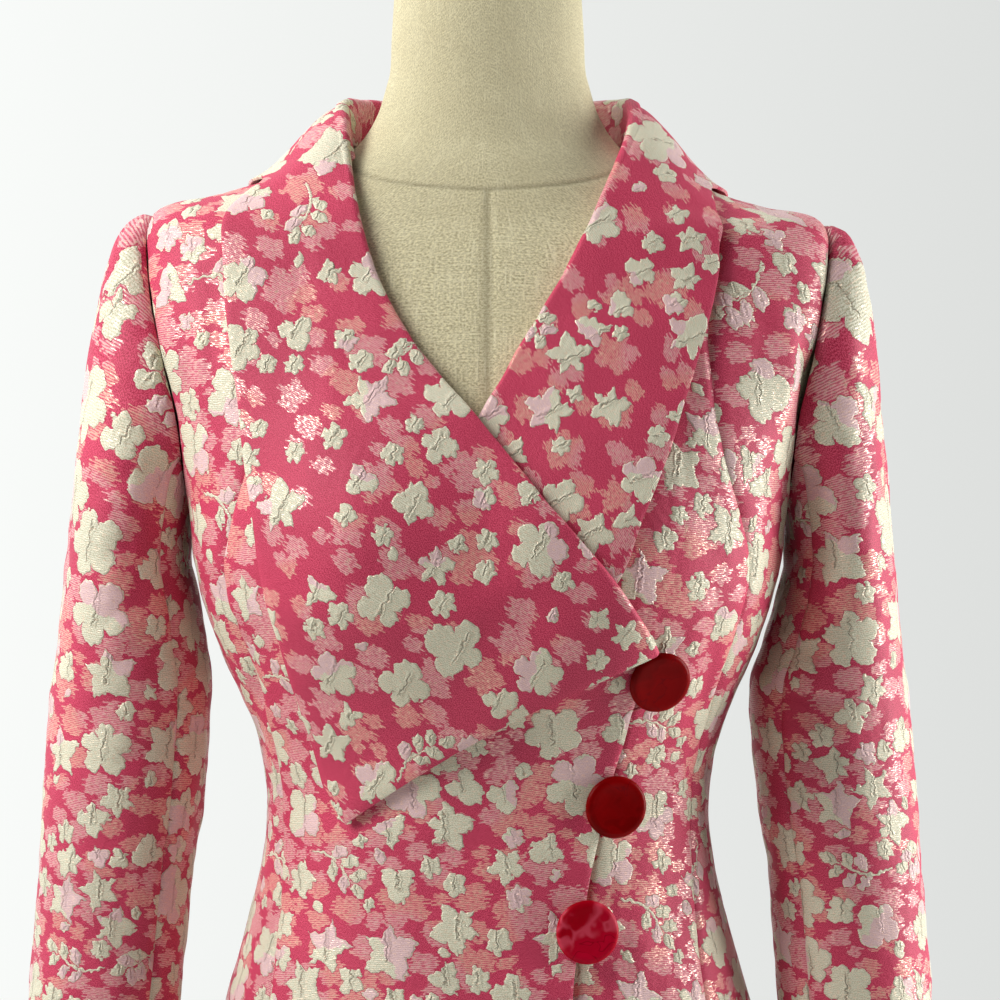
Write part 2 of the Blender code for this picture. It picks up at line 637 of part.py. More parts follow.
def add_loops():
    for i, (x, z, *_) in enumerate(BUTTONS):
        high, low = z + LOOP_ABOVE, z - LOOP_BELOW
        route = [(top_edge_x(high) + LOOP_START, high),
                 (x + 0.6 * LOOP_REACH, z + 0.8 * LOOP_ABOVE),
                 (x + LOOP_REACH, z),
                 (x + 0.75 * LOOP_REACH, z - 0.6 * LOOP_BELOW),
                 (top_edge_x(low) + LOOP_START, low)]
        route = [np.array(point) for point in route]
        curve = bpy.data.curves.new(f"button_loop_{i + 1}", "CURVE")
        curve.dimensions = "3D"
        curve.bevel_depth = LOOP_RADIUS
        curve.bevel_resolution = 1
        curve.use_fill_caps = True
        line = curve.splines.new("POLY")
        steps = 12
        line.points.add(steps)
        for k in range(steps + 1):
            px, pz = smooth_row(route, (len(route) - 1) * k / steps)
            place = on_front(px, pz, LOOP_LIFT)
            line.points[k].co = (*body(*place, LOOP_LIFT), 1.0)
        add_object(f"button_loop_{i + 1}", curve, red_cord)


# ---------------------------------------------------------------- form and stand

def add_loft(name, rings, finish):
    """A closed solid through rings of points, with flat ends."""
    count = len(rings[0])
    points = [p for ring in rings for p in ring]
    faces = [list(range(count))[::-1], [len(points) - count + j for j in range(count)]]
    for i in range(len(rings) - 1):
        for j in range(count):
            k, n = i * count + j, i * count + (j + 1) % count
            faces.append((k, n, n + count, k + count))
    return add_mesh(name, points, faces, finish)


def oval(z, half, front, back, angle):
    s, c = math.sin(math.radians(angle)), math.cos(math.radians(angle))
    return np.array([half * s, -(front if c > 0 else back) * c, z])


def add_form():
    angles = [360 / FORM_SIDES * i for i in range(FORM_SIDES)]
    rings = []
    for level in [FORM_BOTTOM] + list(range(1, 17)) + FORM_NECK_ROWS:
        gap = along(FORM_GAPS, level)
        rings.append([body((a + 180) % 360 - 180, level, -CLOTH - gap) for a in angles])
    underside = skin(0, FORM_BOTTOM)[2]
    for point in rings[0]:
        point[2] = underside
    rings += [[oval(*row, a) for a in angles] for row in NECK]
    add_loft("form_body", rings, linen)

    top, half, front, back = NECK[-1]
    cap = [(top + FIT_GAP, 1.0), (top + CAP_HEIGHT - CAP_EDGE, 1.0),
           (top + CAP_HEIGHT - 0.3 * CAP_EDGE, 1 - 0.3 * CAP_EDGE / half),
           (top + CAP_HEIGHT, 1 - 1.2 * CAP_EDGE / half)]
    add_loft("neck_cap", [[oval(z, half * k, front * k, back * k, a) for a in angles]
                          for z, k in cap], wood)

    pole_low, pole_high = BASE_HEIGHT + FIT_GAP, underside - FIT_GAP
    add_cylinder("pole", POLE_RADIUS, pole_low, pole_high, 24, steel)
    base = add_cylinder("stand_base", BASE_RADIUS, 0.0, BASE_HEIGHT, 48, wood)
    rounded = base.modifiers.new("edge", "BEVEL")
    rounded.width = BASE_EDGE
    rounded.segments = 2
    rounded.limit_method = "ANGLE"


def add_cylinder(name, radius, low, high, sides, finish):
    bpy.ops.mesh.primitive_cylinder_add(vertices=sides, radius=radius, depth=high - low,
                                        location=(0, 0, (low + high) / 2))
    made = bpy.context.object
    made.name = made.data.name = name
    made.data.materials.append(finish)
    for owner in list(made.users_collection):
        owner.objects.unlink(made)
    jacket.objects.link(made)
    made.data.shade_smooth()
    made.data.set_sharp_from_angle(angle=math.radians(40))
    return made


# ---------------------------------------------------------------- start

for old in list(bpy.data.objects):
    bpy.data.objects.remove(old)

jacket = collection("jacquard_jacket_on_form")
cloth = material("pink_jacquard", (0.48, 0.06, 0.16), 0.55)
red_plastic = material("red_plastic", (0.42, 0.005, 0.015), 0.12)
red_cord = material("red_cord", (0.42, 0.01, 0.04), 0.6)
linen = material("linen", (0.52, 0.48, 0.36), 0.85)
wood = material("pale_wood", (0.55, 0.40, 0.25), 0.45)
steel = material("brushed_steel", (0.55, 0.55, 0.56), 0.3, 1.0)

add_body()
add_lapels()
add_sleeves()
add_buttons()
add_loops()
add_form()
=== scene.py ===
# Looks of a fitted double-breasted jacket in floral jacquard, worn by a linen dress form.
# Metres, +Z up. The front faces -Y and the wearer's left is +X, as in the frame.
import math

import bpy
import numpy as np
from mathutils import Matrix, Vector


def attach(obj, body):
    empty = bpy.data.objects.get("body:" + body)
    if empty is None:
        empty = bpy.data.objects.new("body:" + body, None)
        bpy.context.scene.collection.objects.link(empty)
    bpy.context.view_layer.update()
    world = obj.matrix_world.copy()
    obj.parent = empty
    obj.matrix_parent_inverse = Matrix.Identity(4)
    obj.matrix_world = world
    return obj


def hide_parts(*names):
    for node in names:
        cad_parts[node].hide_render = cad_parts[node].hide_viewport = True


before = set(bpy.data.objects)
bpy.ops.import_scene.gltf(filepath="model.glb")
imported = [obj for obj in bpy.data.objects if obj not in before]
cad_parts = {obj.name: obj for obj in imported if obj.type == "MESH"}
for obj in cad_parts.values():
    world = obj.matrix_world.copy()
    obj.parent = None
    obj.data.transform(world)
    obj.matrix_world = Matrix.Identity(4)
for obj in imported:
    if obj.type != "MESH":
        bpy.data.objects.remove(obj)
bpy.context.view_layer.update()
print("frame loaded,", len(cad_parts), "nodes")

# ---- camera

cameraSetup = {"place": (0.007, -1.35, 0.6234), "lens": 84.1, "sensor": 36.0}

cameraData = bpy.data.cameras.new("camera")
cameraData.lens = cameraSetup["lens"]
cameraData.sensor_width = cameraSetup["sensor"]
camera = bpy.data.objects.new("camera", cameraData)
camera.location = cameraSetup["place"]
camera.rotation_euler = (math.radians(90), 0, 0)
bpy.context.scene.collection.objects.link(camera)
bpy.context.scene.camera = camera

# ---- the jacket's body surface: a place on it is an angle from the centre front and a ring number

jacket = {
    "cloth": 0.0016,            # thickness
    "overlapLift": 0.003,       # top front over the under front
    "crossingLift": 0.0037,     # and more where the left lapel lies between them
    "crossing": (0.012, 0.602, 0.084, 0.08),
    "crossingFull": 0.86, "crossingEnd": 1.45,
    "lapelSpacing": 0.0037,
    "edgeCurl": 0.002, "curlWidth": 0.007,  # the top front's free edge stands off
    "pressed": 0.0019, "pressedOff": 0.0012, "pressedWidth": 0.0019,
    "foldRoom": 0.001, "foldStart": 0.25,
    "degreeWidth": 0.0022,      # of one degree at the front edges
    "neckEnd": 77.0,
    # ring numbers
    "underarm": 11, "shoulderTip": 15, "neckline": 19, "sideTop": 17.27, "shoulderStart": 17.3,
    "armholeFront": 30.0, "armholeBack": 34.0,
    "bustSide": 0.082, "bustHeight": 0.6, "bustRise": 0.009,
    "bustAcross": 0.04, "bustUp": 0.048,
    "leftDrop": 0.0065,         # the left shoulder sits lower than the right
}
middleOfCloth = -jacket["cloth"] / 2

# in mm: side height, half width, front depth, back depth, front rise, back rise; and squareness
jacketRings = np.array([
    (240, 166, 118, 124, 0, 0, 2.3), (287, 160, 113, 121, 0, 0, 2.3),
    (334, 151.5, 106, 112, 0, 0, 2.25), (380, 139, 99, 98, 0, 0, 2.2),
    (418, 130, 96, 88, 0, 0, 2.15), (450, 127, 95, 83, 0, 0, 2.15),
    (481, 130.5, 98, 83, 0, 0, 2.2), (511, 141, 106, 87, 0, 0, 2.3),
    (540, 154, 115, 92, 0, 0, 2.4), (566, 162.5, 121, 96, 0, 0, 2.5),
    (592, 168, 122, 99, 0, 0, 2.55), (622, 171, 119, 102, 0, 0, 2.6),
    (662, 181, 109, 104, 0, 0, 2.75), (703, 194, 96, 103, -2, 0, 2.85),
    (745, 199, 83, 97, -10, -4, 2.8), (787.5, 192.5, 73, 88, -26, -18, 2.6),
    (798, 160, 67, 81, -22, -10, 2.4), (807, 130, 63, 74, -18, -2, 2.25),
    (816, 104, 60, 67, -14, 4, 2.15), (828, 81, 57, 60, -14, 8, 2.05),
    (845, 68, 52, 54, -18, 8, 2), (868, 60, 50, 50, -14, 6, 2),
]) * ([0.001] * 6 + [1])

# seams down the body: ring number, angle
frontPrincess = [(0, 50), (2.3, 52), (4, 60), (5, 63), (6, 62), (7.5, 57), (8.5, 55), (9.6, 54),
                 (10.8, 48.6), (11.6, 42), (12.4, 37), (13.4, 34), (15, 38), (16, 47), (17, 62),
                 (17.3, 67)]
backPrincess = [(0, 144), (2.5, 145), (5, 147), (7.5, 144), (10, 140), (12, 141), (13.4, 145),
                (15, 145), (16, 136), (17, 121), (17.3, 115)]
sideSeam = [(0, 94), (5, 94), (9, 92), (11, 90)]

# free edges in the front view: x, z
rightFrontEdge = [(0.042, 0.24), (0.043, 0.3), (0.0455, 0.356), (0.0475, 0.376),
                  (0.0545, 0.417), (0.06, 0.442), (0.07, 0.483), (0.073, 0.493),
                  (0.078, 0.513)]
leftFrontEdge = [(-0.042, 0.24), (-0.043, 0.3), (-0.0475, 0.376), (-0.0605, 0.442),
                 (-0.07, 0.483), (-0.074, 0.53), (-0.066, 0.575)]

# lapels from the lower end up, in mm: fold x, fold z, edge x, edge z, fold radius
rightLapel = 0.001 * np.array([
    (91, 544, -76, 448, 3.6), (79, 563, -87.5, 467, 2.6), (67, 579, -94, 493, 2.1),
    (49, 602, -102, 518, 1.9), (29, 624, -110, 547, 1.9), (9, 650, -118, 577, 1.9),
    (-8, 670, -122.5, 605, 1.9), (-26, 690, -127.5, 634, 1.9), (-39, 707, -131.5, 661, 1.9),
    (-51, 726, -135.5, 688, 1.9), (-60, 745, -140, 715, 2), (-67, 765, -143.5, 741, 2.1),
    (-72.5, 787, -145.5, 766, 2.3), (-76, 808, -141.5, 787, 2.6),
])
leftLapel = 0.001 * np.array([
    (-38, 618, 46, 556, 1.9), (-28, 633, 68, 580, 1.9), (-16, 650, 79, 607, 1.9),
    (-4, 668, 89, 631, 1.9), (7, 686, 98.5, 655, 1.9), (17, 705, 107, 681, 1.9),
    (29, 724, 114.5, 704, 1.9), (42, 746, 121.5, 727, 2), (52, 766, 126, 747, 2.1),
    (61.5, 786, 128, 767, 2.3), (70, 807, 126.5, 785, 2.6),
])
# collar round to the centre back: fold x, y, z, edge angle, edge ring, seam angle, seam ring, radius
collarRows = np.array([
    (0.081, -0.025, 0.836, 66, 16.85, 54, 18.5, 0.0032),
    (0.084, 0.004, 0.854, 90, 16.75, 90, 19.04, 0.0038),
    (0.074, 0.036, 0.86, 120, 16.4, 122, 19.04, 0.004),
    (0.043, 0.062, 0.862, 150, 16.3, 150, 19.04, 0.004),
    (0.0, 0.073, 0.863, 180, 16.3, 180, 19.04, 0.004),
])


def smoothCurve(a, b, c, d, t):
    return 0.5 * (2 * b + (c - a) * t + (2 * a - 5 * b + 4 * c - d) * t * t
                  + (3 * b - a - 3 * c + d) * t ** 3)


def smoothRow(table, place):
    place = np.clip(np.asarray(place, float), 0, len(table) - 1)
    i = np.minimum(place.astype(int), len(table) - 2)
    longer = np.vstack([2 * table[0] - table[1], table, 2 * table[-1] - table[-2]])
    return smoothCurve(*(longer[i + k] for k in range(4)), (place - i)[..., None])


def along(pairs, place):
    x, y = np.asarray(pairs, float).T
    place = np.clip(np.asarray(place, float), x[0], x[-1])
    i = np.clip(np.searchsorted(x, place, side="right") - 1, 0, len(x) - 2)
    before, after = np.maximum(i - 1, 0), np.minimum(i + 2, len(x) - 1)
    step = x[i + 1] - x[i]
    t = (place - x[i]) / step
    slope0 = (y[i + 1] - y[before]) / (x[i + 1] - x[before]) * step
    slope1 = (y[after] - y[i]) / (x[after] - x[i]) * step
    h = t * t * (3 - 2 * t)
    return y[i] * (1 - h) + y[i + 1] * h + slope0 * t * (1 - t) ** 2 - slope1 * t * t * (1 - t)


def ease(low, high, value):
    t = np.clip((np.asarray(value, float) - low) / (high - low), 0.0, 1.0)
    return t * t * (3 - 2 * t)


def unit(vectors):
    return vectors / np.maximum(np.linalg.norm(vectors, axis=-1, keepdims=True), 1e-12)


def skin(angle, level):
    rows = smoothRow(jacketRings, level)
    height, half, front, back, frontRise, backRise, square = np.moveaxis(rows, -1, 0)
    s, c = np.sin(np.radians(angle)), np.cos(np.radians(angle))
    k = (np.abs(s) ** square + np.abs(c) ** square) ** (-1 / square)
    x = half * s * k
    y = -np.where(c > 0, front, back) * c * k
    z = height + np.where(c > 0, frontRise, backRise) * c * c
    across = (np.abs(x) - jacket["bustSide"]) / jacket["bustAcross"]
    up = (z - jacket["bustHeight"]) / jacket["bustUp"]
    y = y - np.where(c > 0, jacket["bustRise"], 0.0) * np.exp(-(across ** 2 + up ** 2) / 2)
    z = z - jacket["leftDrop"] * ease(0.075, 0.15, x) * ease(0.735, 0.79, z)
    return np.stack([x, y, z], axis=-1)


def skinNormal(angle, level):
    last = len(jacketRings) - 1.0
    low, high = np.maximum(np.asarray(level) - 0.02, 0.0), np.minimum(np.asarray(level) + 0.02, last)
    da = skin(np.asarray(angle) + 0.5, level) - skin(np.asarray(angle) - 0.5, level)
    dv = skin(angle, high) - skin(angle, low)
    return unit(np.cross(da, dv))


def body(angle, level, lift=0.0):
    return skin(angle, level) + skinNormal(angle, level) * np.asarray(lift)[..., None]


def onFront(x, z, lift=0.0):  # the angle and level under a point of the front view
    x, z = np.asarray(x, float), np.asarray(z, float)
    angle, level = x / 0.16 * 60, np.full(x.shape, 10.0)
    for _ in range(40):
        here = body(angle, level, lift)
        da = (body(angle + 0.3, level, lift) - here) / 0.3
        dv = (body(angle, level + 0.02, lift) - here) / 0.02
        missX, missZ = here[..., 0] - x, here[..., 2] - z
        whole = da[..., 0] * dv[..., 2] - da[..., 2] * dv[..., 0]
        angle = angle + np.clip(-(missX * dv[..., 2] - missZ * dv[..., 0]) / whole, -8, 8)
        level = np.clip(level + np.clip(-(da[..., 0] * missZ - da[..., 2] * missX) / whole, -0.7, 0.7),
                        0.0, len(jacketRings) - 1.03)
    return angle, level


def frontLine(free, lapel, lift, lastAngle):
    points = np.vstack([free, lapel[:, :2]])
    angle, level = onFront(points[:, 0], points[:, 1], lift)
    line = sorted(zip(level, angle)) + [(jacket["neckline"] - 0.05, lastAngle)]
    folds = sorted(zip(onFront(lapel[:, 0], lapel[:, 1], lift)[1], lapel[:, 4]))
    return line, folds


frontLines = {
    "left": frontLine(leftFrontEdge, leftLapel, middleOfCloth, jacket["neckEnd"]),
    "right": frontLine(rightFrontEdge, rightLapel, jacket["overlapLift"], -jacket["neckEnd"]),
}


def plainLift(angle, level):
    return np.full(np.shape(angle), middleOfCloth)


def topLift(angle, level):  # the top front climbs over the under front and its lapel
    seam = -along(frontPrincess, level)
    underEdge = along(frontLines["left"][0], np.minimum(level, 10.0))
    over = ease(seam + 3, np.minimum(underEdge, -20.0) - 2, angle) * ease(13.4, 11.8, level)
    place = skin(angle, level)
    centreX, centreZ, halfX, halfZ = jacket["crossing"]
    reach = np.hypot((place[..., 0] - centreX) / halfX, (place[..., 2] - centreZ) / halfZ)
    crossing = ease(jacket["crossingEnd"], jacket["crossingFull"], reach)
    return middleOfCloth + jacket["overlapLift"] * over + jacket["crossingLift"] * crossing * over


def topFrontLift(angle, level):  # its free edge stands a little off the under front
    line, folds = frontLines["right"]
    reach = np.abs(angle - along(line, level)) * jacket["degreeWidth"]
    curl = np.exp(-(reach / jacket["curlWidth"]) ** 2) * ease(0.0, -0.6, level - folds[0][0])
    return topLift(angle, level) + jacket["edgeCurl"] * curl


def underFrontLift(angle, level):  # pressed in along the top front's free edge
    line, folds = frontLines["right"]
    reach = (angle - along(line, level)) * jacket["degreeWidth"] - jacket["pressedOff"]
    pressed = np.exp(-(reach / jacket["pressedWidth"]) ** 2) * ease(0.3, -0.3, level - folds[0][0])
    return middleOfCloth - jacket["pressed"] * pressed


def inset(bound, sign, level, distance):  # degrees that keep a distance from a slanted seam
    angle = sign * bound(level)
    row = skin(angle + 0.5, level) - skin(angle - 0.5, level)
    low, high = np.maximum(level - 0.04, 0.0), np.minimum(level + 0.04, len(jacketRings) - 1.0)
    edge = skin(sign * bound(high), high) - skin(sign * bound(low), low)
    slant = np.linalg.norm(np.cross(unit(row), unit(edge)), axis=-1)
    return distance / np.linalg.norm(row, axis=-1) / np.maximum(slant, 0.3)


# ---- creases and unevenness, placed in the front view

# in mm: x and z of one end, x and z of the other, half width, height (negative is a trough)
frontFolds = 0.001 * np.array([
    (176, 714, 171, 668, 5, -3), (166, 716, 160, 664, 5.5, 1.4), (151, 752, 146, 690, 6.5, -0.7),
    (-170, 728, -165, 672, 5, -1.7), (-162, 735, -158.5, 680, 4, 0.8),
    (-153, 762, -151, 686, 6, -1.3), (-143, 720, -141, 640, 8, 0.7),
    (-137, 556, -127, 488, 5, -2.6), (-130, 530, -118, 452, 6, 0.8), (122, 560, 112, 498, 6, -0.9),
    (118, 470, 80, 452, 5, -0.8), (-120, 462, -70, 446, 5.5, -0.9),
    (-118, 436, -60, 428, 5.5, -0.7), (20, 430, -50, 440, 6, -0.6),
    (-100, 380, -108, 250, 12, 1.2), (-30, 370, -34, 250, 14, 1.1), (100, 370, 112, 250, 12, 1.2),
    (-66, 350, -72, 245, 10, -1), (60, 340, 66, 245, 9, -0.7),
])
backFolds = 0.001 * np.array([
    (165, 720, 158, 650, 7, -1.6), (-160, 730, -166, 655, 7, -1.4), (110, 740, 60, 760, 9, -0.8),
    (-120, 745, -50, 764, 9, -0.9), (100, 470, 30, 452, 6, -1), (-104, 462, -20, 448, 6, -1.1),
    (60, 428, -40, 436, 6, -0.8), (90, 380, 100, 250, 13, 1.3), (-86, 380, -96, 250, 13, 1.2),
    (4, 360, 6, 250, 13, 1), (46, 350, 52, 250, 11, -1.1), (-42, 340, -48, 250, 11, -1),
])
# the same for a sleeve, with x measured outwards from its middle
sleeveFrontFolds = 0.001 * np.array([
    (-30, 640, 12, 622, 5, -1.1), (-34, 606, 0, 590, 4.5, -1), (-34, 566, 6, 552, 4.5, -1.9),
    (-36, 540, -6, 532, 3.8, -1.7), (-36, 512, 4, 508, 4.2, -2), (-34, 484, -4, 474, 3.8, -1.4),
    (30, 520, 4, 498, 6, -0.8), (24, 690, 14, 600, 8.5, 0.9), (-20, 440, 18, 420, 7, -0.7),
    (-26, 330, 12, 322, 6.5, -0.7), (28, 300, 0, 286, 6, -0.6),
])
sleeveBackFolds = 0.001 * np.array([
    (-30, 650, 10, 630, 6, -1.2), (-20, 600, 24, 612, 5.5, -0.9), (-32, 470, 14, 486, 6, -1),
    (-30, 430, 10, 420, 6.5, -0.8), (-20, 320, 26, 330, 6.5, -0.7),
])
# uneven lie of the cloth: wavelength, direction, height, start
clothWaves = [(0.046, 0.35, 0.00022, 0.4), (0.031, 1.75, 0.00018, 1.9), (0.072, 2.6, 0.00034, 3.1),
              (0.023, 1.05, 0.00011, 5.0), (0.018, 2.9, 0.00008, 2.2)]


def foldHeight(x, z, folds):
    height = np.zeros(np.shape(x))
    for x1, z1, x2, z2, width, high in folds:
        lineX, lineZ = x2 - x1, z2 - z1
        length = math.hypot(lineX, lineZ)
        way = np.clip(((x - x1) * lineX + (z - z1) * lineZ) / length ** 2, 0, 1)
        bow = 0.06 * length * np.sin(way * math.pi)  # a fold is never quite straight
        gap = np.hypot(x - x1 - way * lineX + bow * lineZ / length,
                       z - z1 - way * lineZ - bow * lineX / length)
        taper = 0.35 + 0.65 * np.sin(np.clip(way, 0.02, 0.98) * math.pi)
        height += high * taper * np.exp(-(gap / width) ** 2)
    return height


def waveHeight(x, z):
    height = np.zeros(np.shape(x))
    for length, turn, high, start in clothWaves:
        way = (x * math.cos(turn) + z * math.sin(turn)) / length * 2 * math.pi
        height += high * np.sin(way + start + 1.4 * np.sin(way * 0.37 + start * 2))
    return height


def bodyRelief(points):
    x, y, z = np.moveaxis(points, -1, 0)
    front = foldHeight(x, z, frontFolds)
    back = foldHeight(x, z, backFolds)
    side = ease(-0.03, 0.03, y)
    return front * (1 - side) + back * side + waveHeight(x + y, z)


# ---- making one piece of cloth from a grid

cutting = {"seamDepth": 0.0013, "seamWidth": 0.0023, "edgeDepth": 0.0005, "edgeWidth": 0.0014,
           "edgeRound": 0.00045, "edgeAngle": 55}


def gridSteps(points):
    across = np.linalg.norm(np.diff(points, axis=1), axis=-1)
    down = np.linalg.norm(np.diff(points, axis=0), axis=-1)
    return (np.pad(np.cumsum(across, axis=1), ((0, 0), (1, 0))),
            np.pad(np.cumsum(down, axis=0), ((1, 0), (0, 0))))


def gridNormals(points):
    return unit(np.cross(np.gradient(points, axis=1), np.gradient(points, axis=0)))


def selectNone():
    bpy.ops.object.select_all(action="DESELECT")


def newGrid(name, columns, rows):  # with each vertex's row and column, and each corner's vertex
    selectNone()
    bpy.ops.mesh.primitive_grid_add(x_subdivisions=columns, y_subdivisions=rows, size=1)
    piece = bpy.context.object
    piece.name = piece.data.name = name
    mesh = piece.data
    mesh.uv_layers[0].name = "cloth"
    flat = np.empty(len(mesh.vertices) * 3)
    mesh.vertices.foreach_get("co", flat)
    flat = flat.reshape(-1, 3) + 0.5
    corners = np.empty(len(mesh.loops), dtype=int)
    mesh.loops.foreach_get("vertex_index", corners)
    at = (np.rint(flat[:, 1] * rows).astype(int), np.rint(flat[:, 0] * columns).astype(int))
    return piece, at, corners


def layFlat(piece, wanted, area):
    # the unwrapped cloth, brought to true size and laid on its grain
    mesh = piece.data
    bpy.ops.object.mode_set(mode="EDIT")
    bpy.ops.mesh.select_all(action="SELECT")
    bpy.ops.uv.unwrap(method="CONFORMAL", margin=0)
    bpy.ops.object.mode_set(mode="OBJECT")
    found = np.empty(len(mesh.loops) * 2)
    mesh.uv_layers["cloth"].data.foreach_get("uv", found)
    found = found.reshape(-1, 2)
    corners = found.reshape(-1, 4, 2)
    ahead, aside = corners[:, 2] - corners[:, 0], corners[:, 3] - corners[:, 1]
    flatArea = np.abs(ahead[:, 0] * aside[:, 1] - ahead[:, 1] * aside[:, 0]).sum() / 2
    middle, target = found.mean(axis=0), wanted.mean(axis=0)
    first, _, second = np.linalg.svd((wanted - target).T @ (found - middle))
    laid = (found - middle) @ (first @ second).T * math.sqrt(area / flatArea) + target
    mesh.uv_layers["cloth"].data.foreach_set("uv", laid.ravel())


def makeSheet(name, shape, columns, rows, seams, relief, grain):
    # shape gives points for s across and t up; seams says which sides are sewn or turned under
    piece, at, corners = newGrid(name, columns, rows)
    mesh = piece.data
    points = shape(*np.meshgrid(np.arange(columns + 1) / columns, np.arange(rows + 1) / rows))
    u, v = gridSteps(points)
    middle = slice(columns // 2, columns // 2 + 1)
    u0, v0 = u - u[:, middle], np.repeat(v[:, middle], columns + 1, axis=1)
    distances = {"first": u, "last": u[:, -1:] - u, "low": v, "high": v[-1:] - v}
    lift = relief(points)
    for side, kind in seams.items():
        depth, width = ((cutting["seamDepth"], cutting["seamWidth"]) if kind == "sewn"
                        else (cutting["edgeDepth"], cutting["edgeWidth"]))
        lift = lift - depth * np.exp(-(distances[side] / width) ** 2)
    points = points + gridNormals(points) * lift[..., None]
    mesh.vertices.foreach_set("co", points[at].ravel())
    mesh.update()
    area = sum(face.area for face in mesh.polygons)
    size = (float(u.max(axis=0)[-1]), float(v[-1].max()))

    turn, shiftU, shiftV = math.radians(grain[0]), grain[1], grain[2]
    onGrain = np.stack([u0 * math.cos(turn) - v0 * math.sin(turn) + shiftU,
                        u0 * math.sin(turn) + v0 * math.cos(turn) + shiftV], axis=-1)
    layFlat(piece, onGrain[at][corners], area)

    thick = piece.modifiers.new("wall", "SOLIDIFY")
    thick.thickness = jacket["cloth"]
    thick.offset = 0.0
    rounded = piece.modifiers.new("edges", "BEVEL")
    rounded.width = cutting["edgeRound"]
    rounded.segments = 2
    rounded.limit_method = "ANGLE"
    rounded.angle_limit = math.radians(cutting["edgeAngle"])
    for modifier in ("wall", "edges"):
        bpy.ops.object.modifier_apply(modifier=modifier)
    mesh.shade_smooth()
    return piece, size, area


def finishPiece(piece, node, material):
    piece.data.materials.clear()
    piece.data.materials.append(material)
    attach(piece, "root")
    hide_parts(node)


def addSheet(node, shape, columns, rows, seams, relief, layout="dense"):
    piece, size, area = makeSheet(node + "_cloth", shape, columns, rows, seams, relief, grainOf[node])
    weaveInto(piece.data, layouts[layout])
    finishPiece(piece, node, jacquardCloth)


# ---- small helpers for nodes: each new node goes into the tree of the sockets it is given

def linear(*shades):
    return tuple(((c / 255 + 0.055) / 1.055) ** 2.4 if c > 10 else c / 255 / 12.92
                 for c in shades) + (1.0,)


def isSocket(value):
    return isinstance(value, bpy.types.NodeSocket)


def feed(socket, value):
    if isSocket(value):
        socket.id_data.links.new(value, socket)
    else:
        socket.default_value = value


def newNode(kind, values, inputs=range(5), **settings):
    tree = next(value.id_data for value in values if isSocket(value))
    node = tree.nodes.new("ShaderNode" + kind)
    for label, setting in settings.items():
        setattr(node, label, setting)
    for place, value in zip(inputs, values):
        feed(node.inputs[place], value)
    return node


def maths(operation, taken=2):  # more values than the node takes go through further nodes
    def calc(*values):
        made = newNode("Math", values[:taken], operation=operation).outputs[0]
        return calc(made, *values[taken:]) if len(values) > taken else made
    return calc


plus, minus, times, over = (maths(name) for name in ("ADD", "SUBTRACT", "MULTIPLY", "DIVIDE"))
least, most, above, raisedTo = (maths(name)
                                for name in ("MINIMUM", "MAXIMUM", "GREATER_THAN", "POWER"))
sineOf, cosineOf, sizeOf, floorOf = (maths(name, 1) for name in ("SINE", "COSINE", "ABSOLUTE", "FLOOR"))
timesPlus, turnOf = maths("MULTIPLY_ADD", 3), maths("ARCTAN2")


def moved(vector, by):
    return newNode("VectorMath", (vector, by), operation="ADD").outputs[0]


def scaled(vector, factor):
    return newNode("VectorMath", (vector, factor), (0, "Scale"), operation="SCALE").outputs[0]


def band(value, low, high):  # 0 at low, 1 at high, smooth between
    return newNode("MapRange", (value, low, high), interpolation_type="SMOOTHSTEP").outputs[0]


def between(value, low, high, start, end):
    return newNode("MapRange", (value, low, high, start, end)).outputs[0]


def blend(factor, first, second):
    return newNode("Mix", (factor, first, second), (0, 6, 7), data_type="RGBA").outputs[2]


def split(vector):
    return newNode("SeparateXYZ", (vector,)).outputs


def join(x, y, z=0.0):
    return newNode("CombineXYZ", (x, y, z)).outputs[0]


def noise(vector, scale, detail=2.0, rough=0.5, flat=False):
    return newNode("TexNoise", (vector, scale, detail, rough),
                   ("Vector", "Scale", "Detail", "Roughness"),
                   noise_dimensions="2D" if flat else "3D").outputs["Fac"]


def bump(height, distance):
    return newNode("Bump", (height, distance), ("Height", "Distance")).outputs[0]


def newGroup(name, inputs, outputs):
    group = bpy.data.node_groups.new(name, "ShaderNodeTree")
    for label, value in inputs.items():
        kind = "NodeSocketVector" if isinstance(value, tuple) else "NodeSocketFloat"
        group.interface.new_socket(label, in_out="INPUT", socket_type=kind).default_value = value
    for label, kind in outputs.items():
        group.interface.new_socket(label, in_out="OUTPUT", socket_type="NodeSocket" + kind)
    return group, group.nodes.new("NodeGroupInput").outputs, group.nodes.new("NodeGroupOutput").inputs


def useGroup(group, **values):
    return newNode("Group", list(values.values()), list(values), node_tree=group).outputs


def newMaterial(name):
    material = bpy.data.materials.new(name)
    material.use_nodes = True
    return material, material.node_tree, material.node_tree.nodes["Principled BSDF"].inputs


def paint(shader, looks):
    for label, value in looks.items():
        feed(shader[label], value)


def spotOn(tree, kind="Object"):
    return tree.nodes.new("ShaderNodeTexCoord").outputs[kind]


def attribute(tree, name, kind="Vector"):
    node = tree.nodes.new("ShaderNodeAttribute")
    node.attribute_name = name
    return node.outputs[kind]


def clothPlace(tree):  # millimetres on the cloth
    node = tree.nodes.new("ShaderNodeUVMap")
    node.uv_map = "cloth"
    return scaled(node.outputs[0], 1000.0)


# ---- the jacquard's drawing: one repeat of motifs, laid out by rule and then woven over every piece

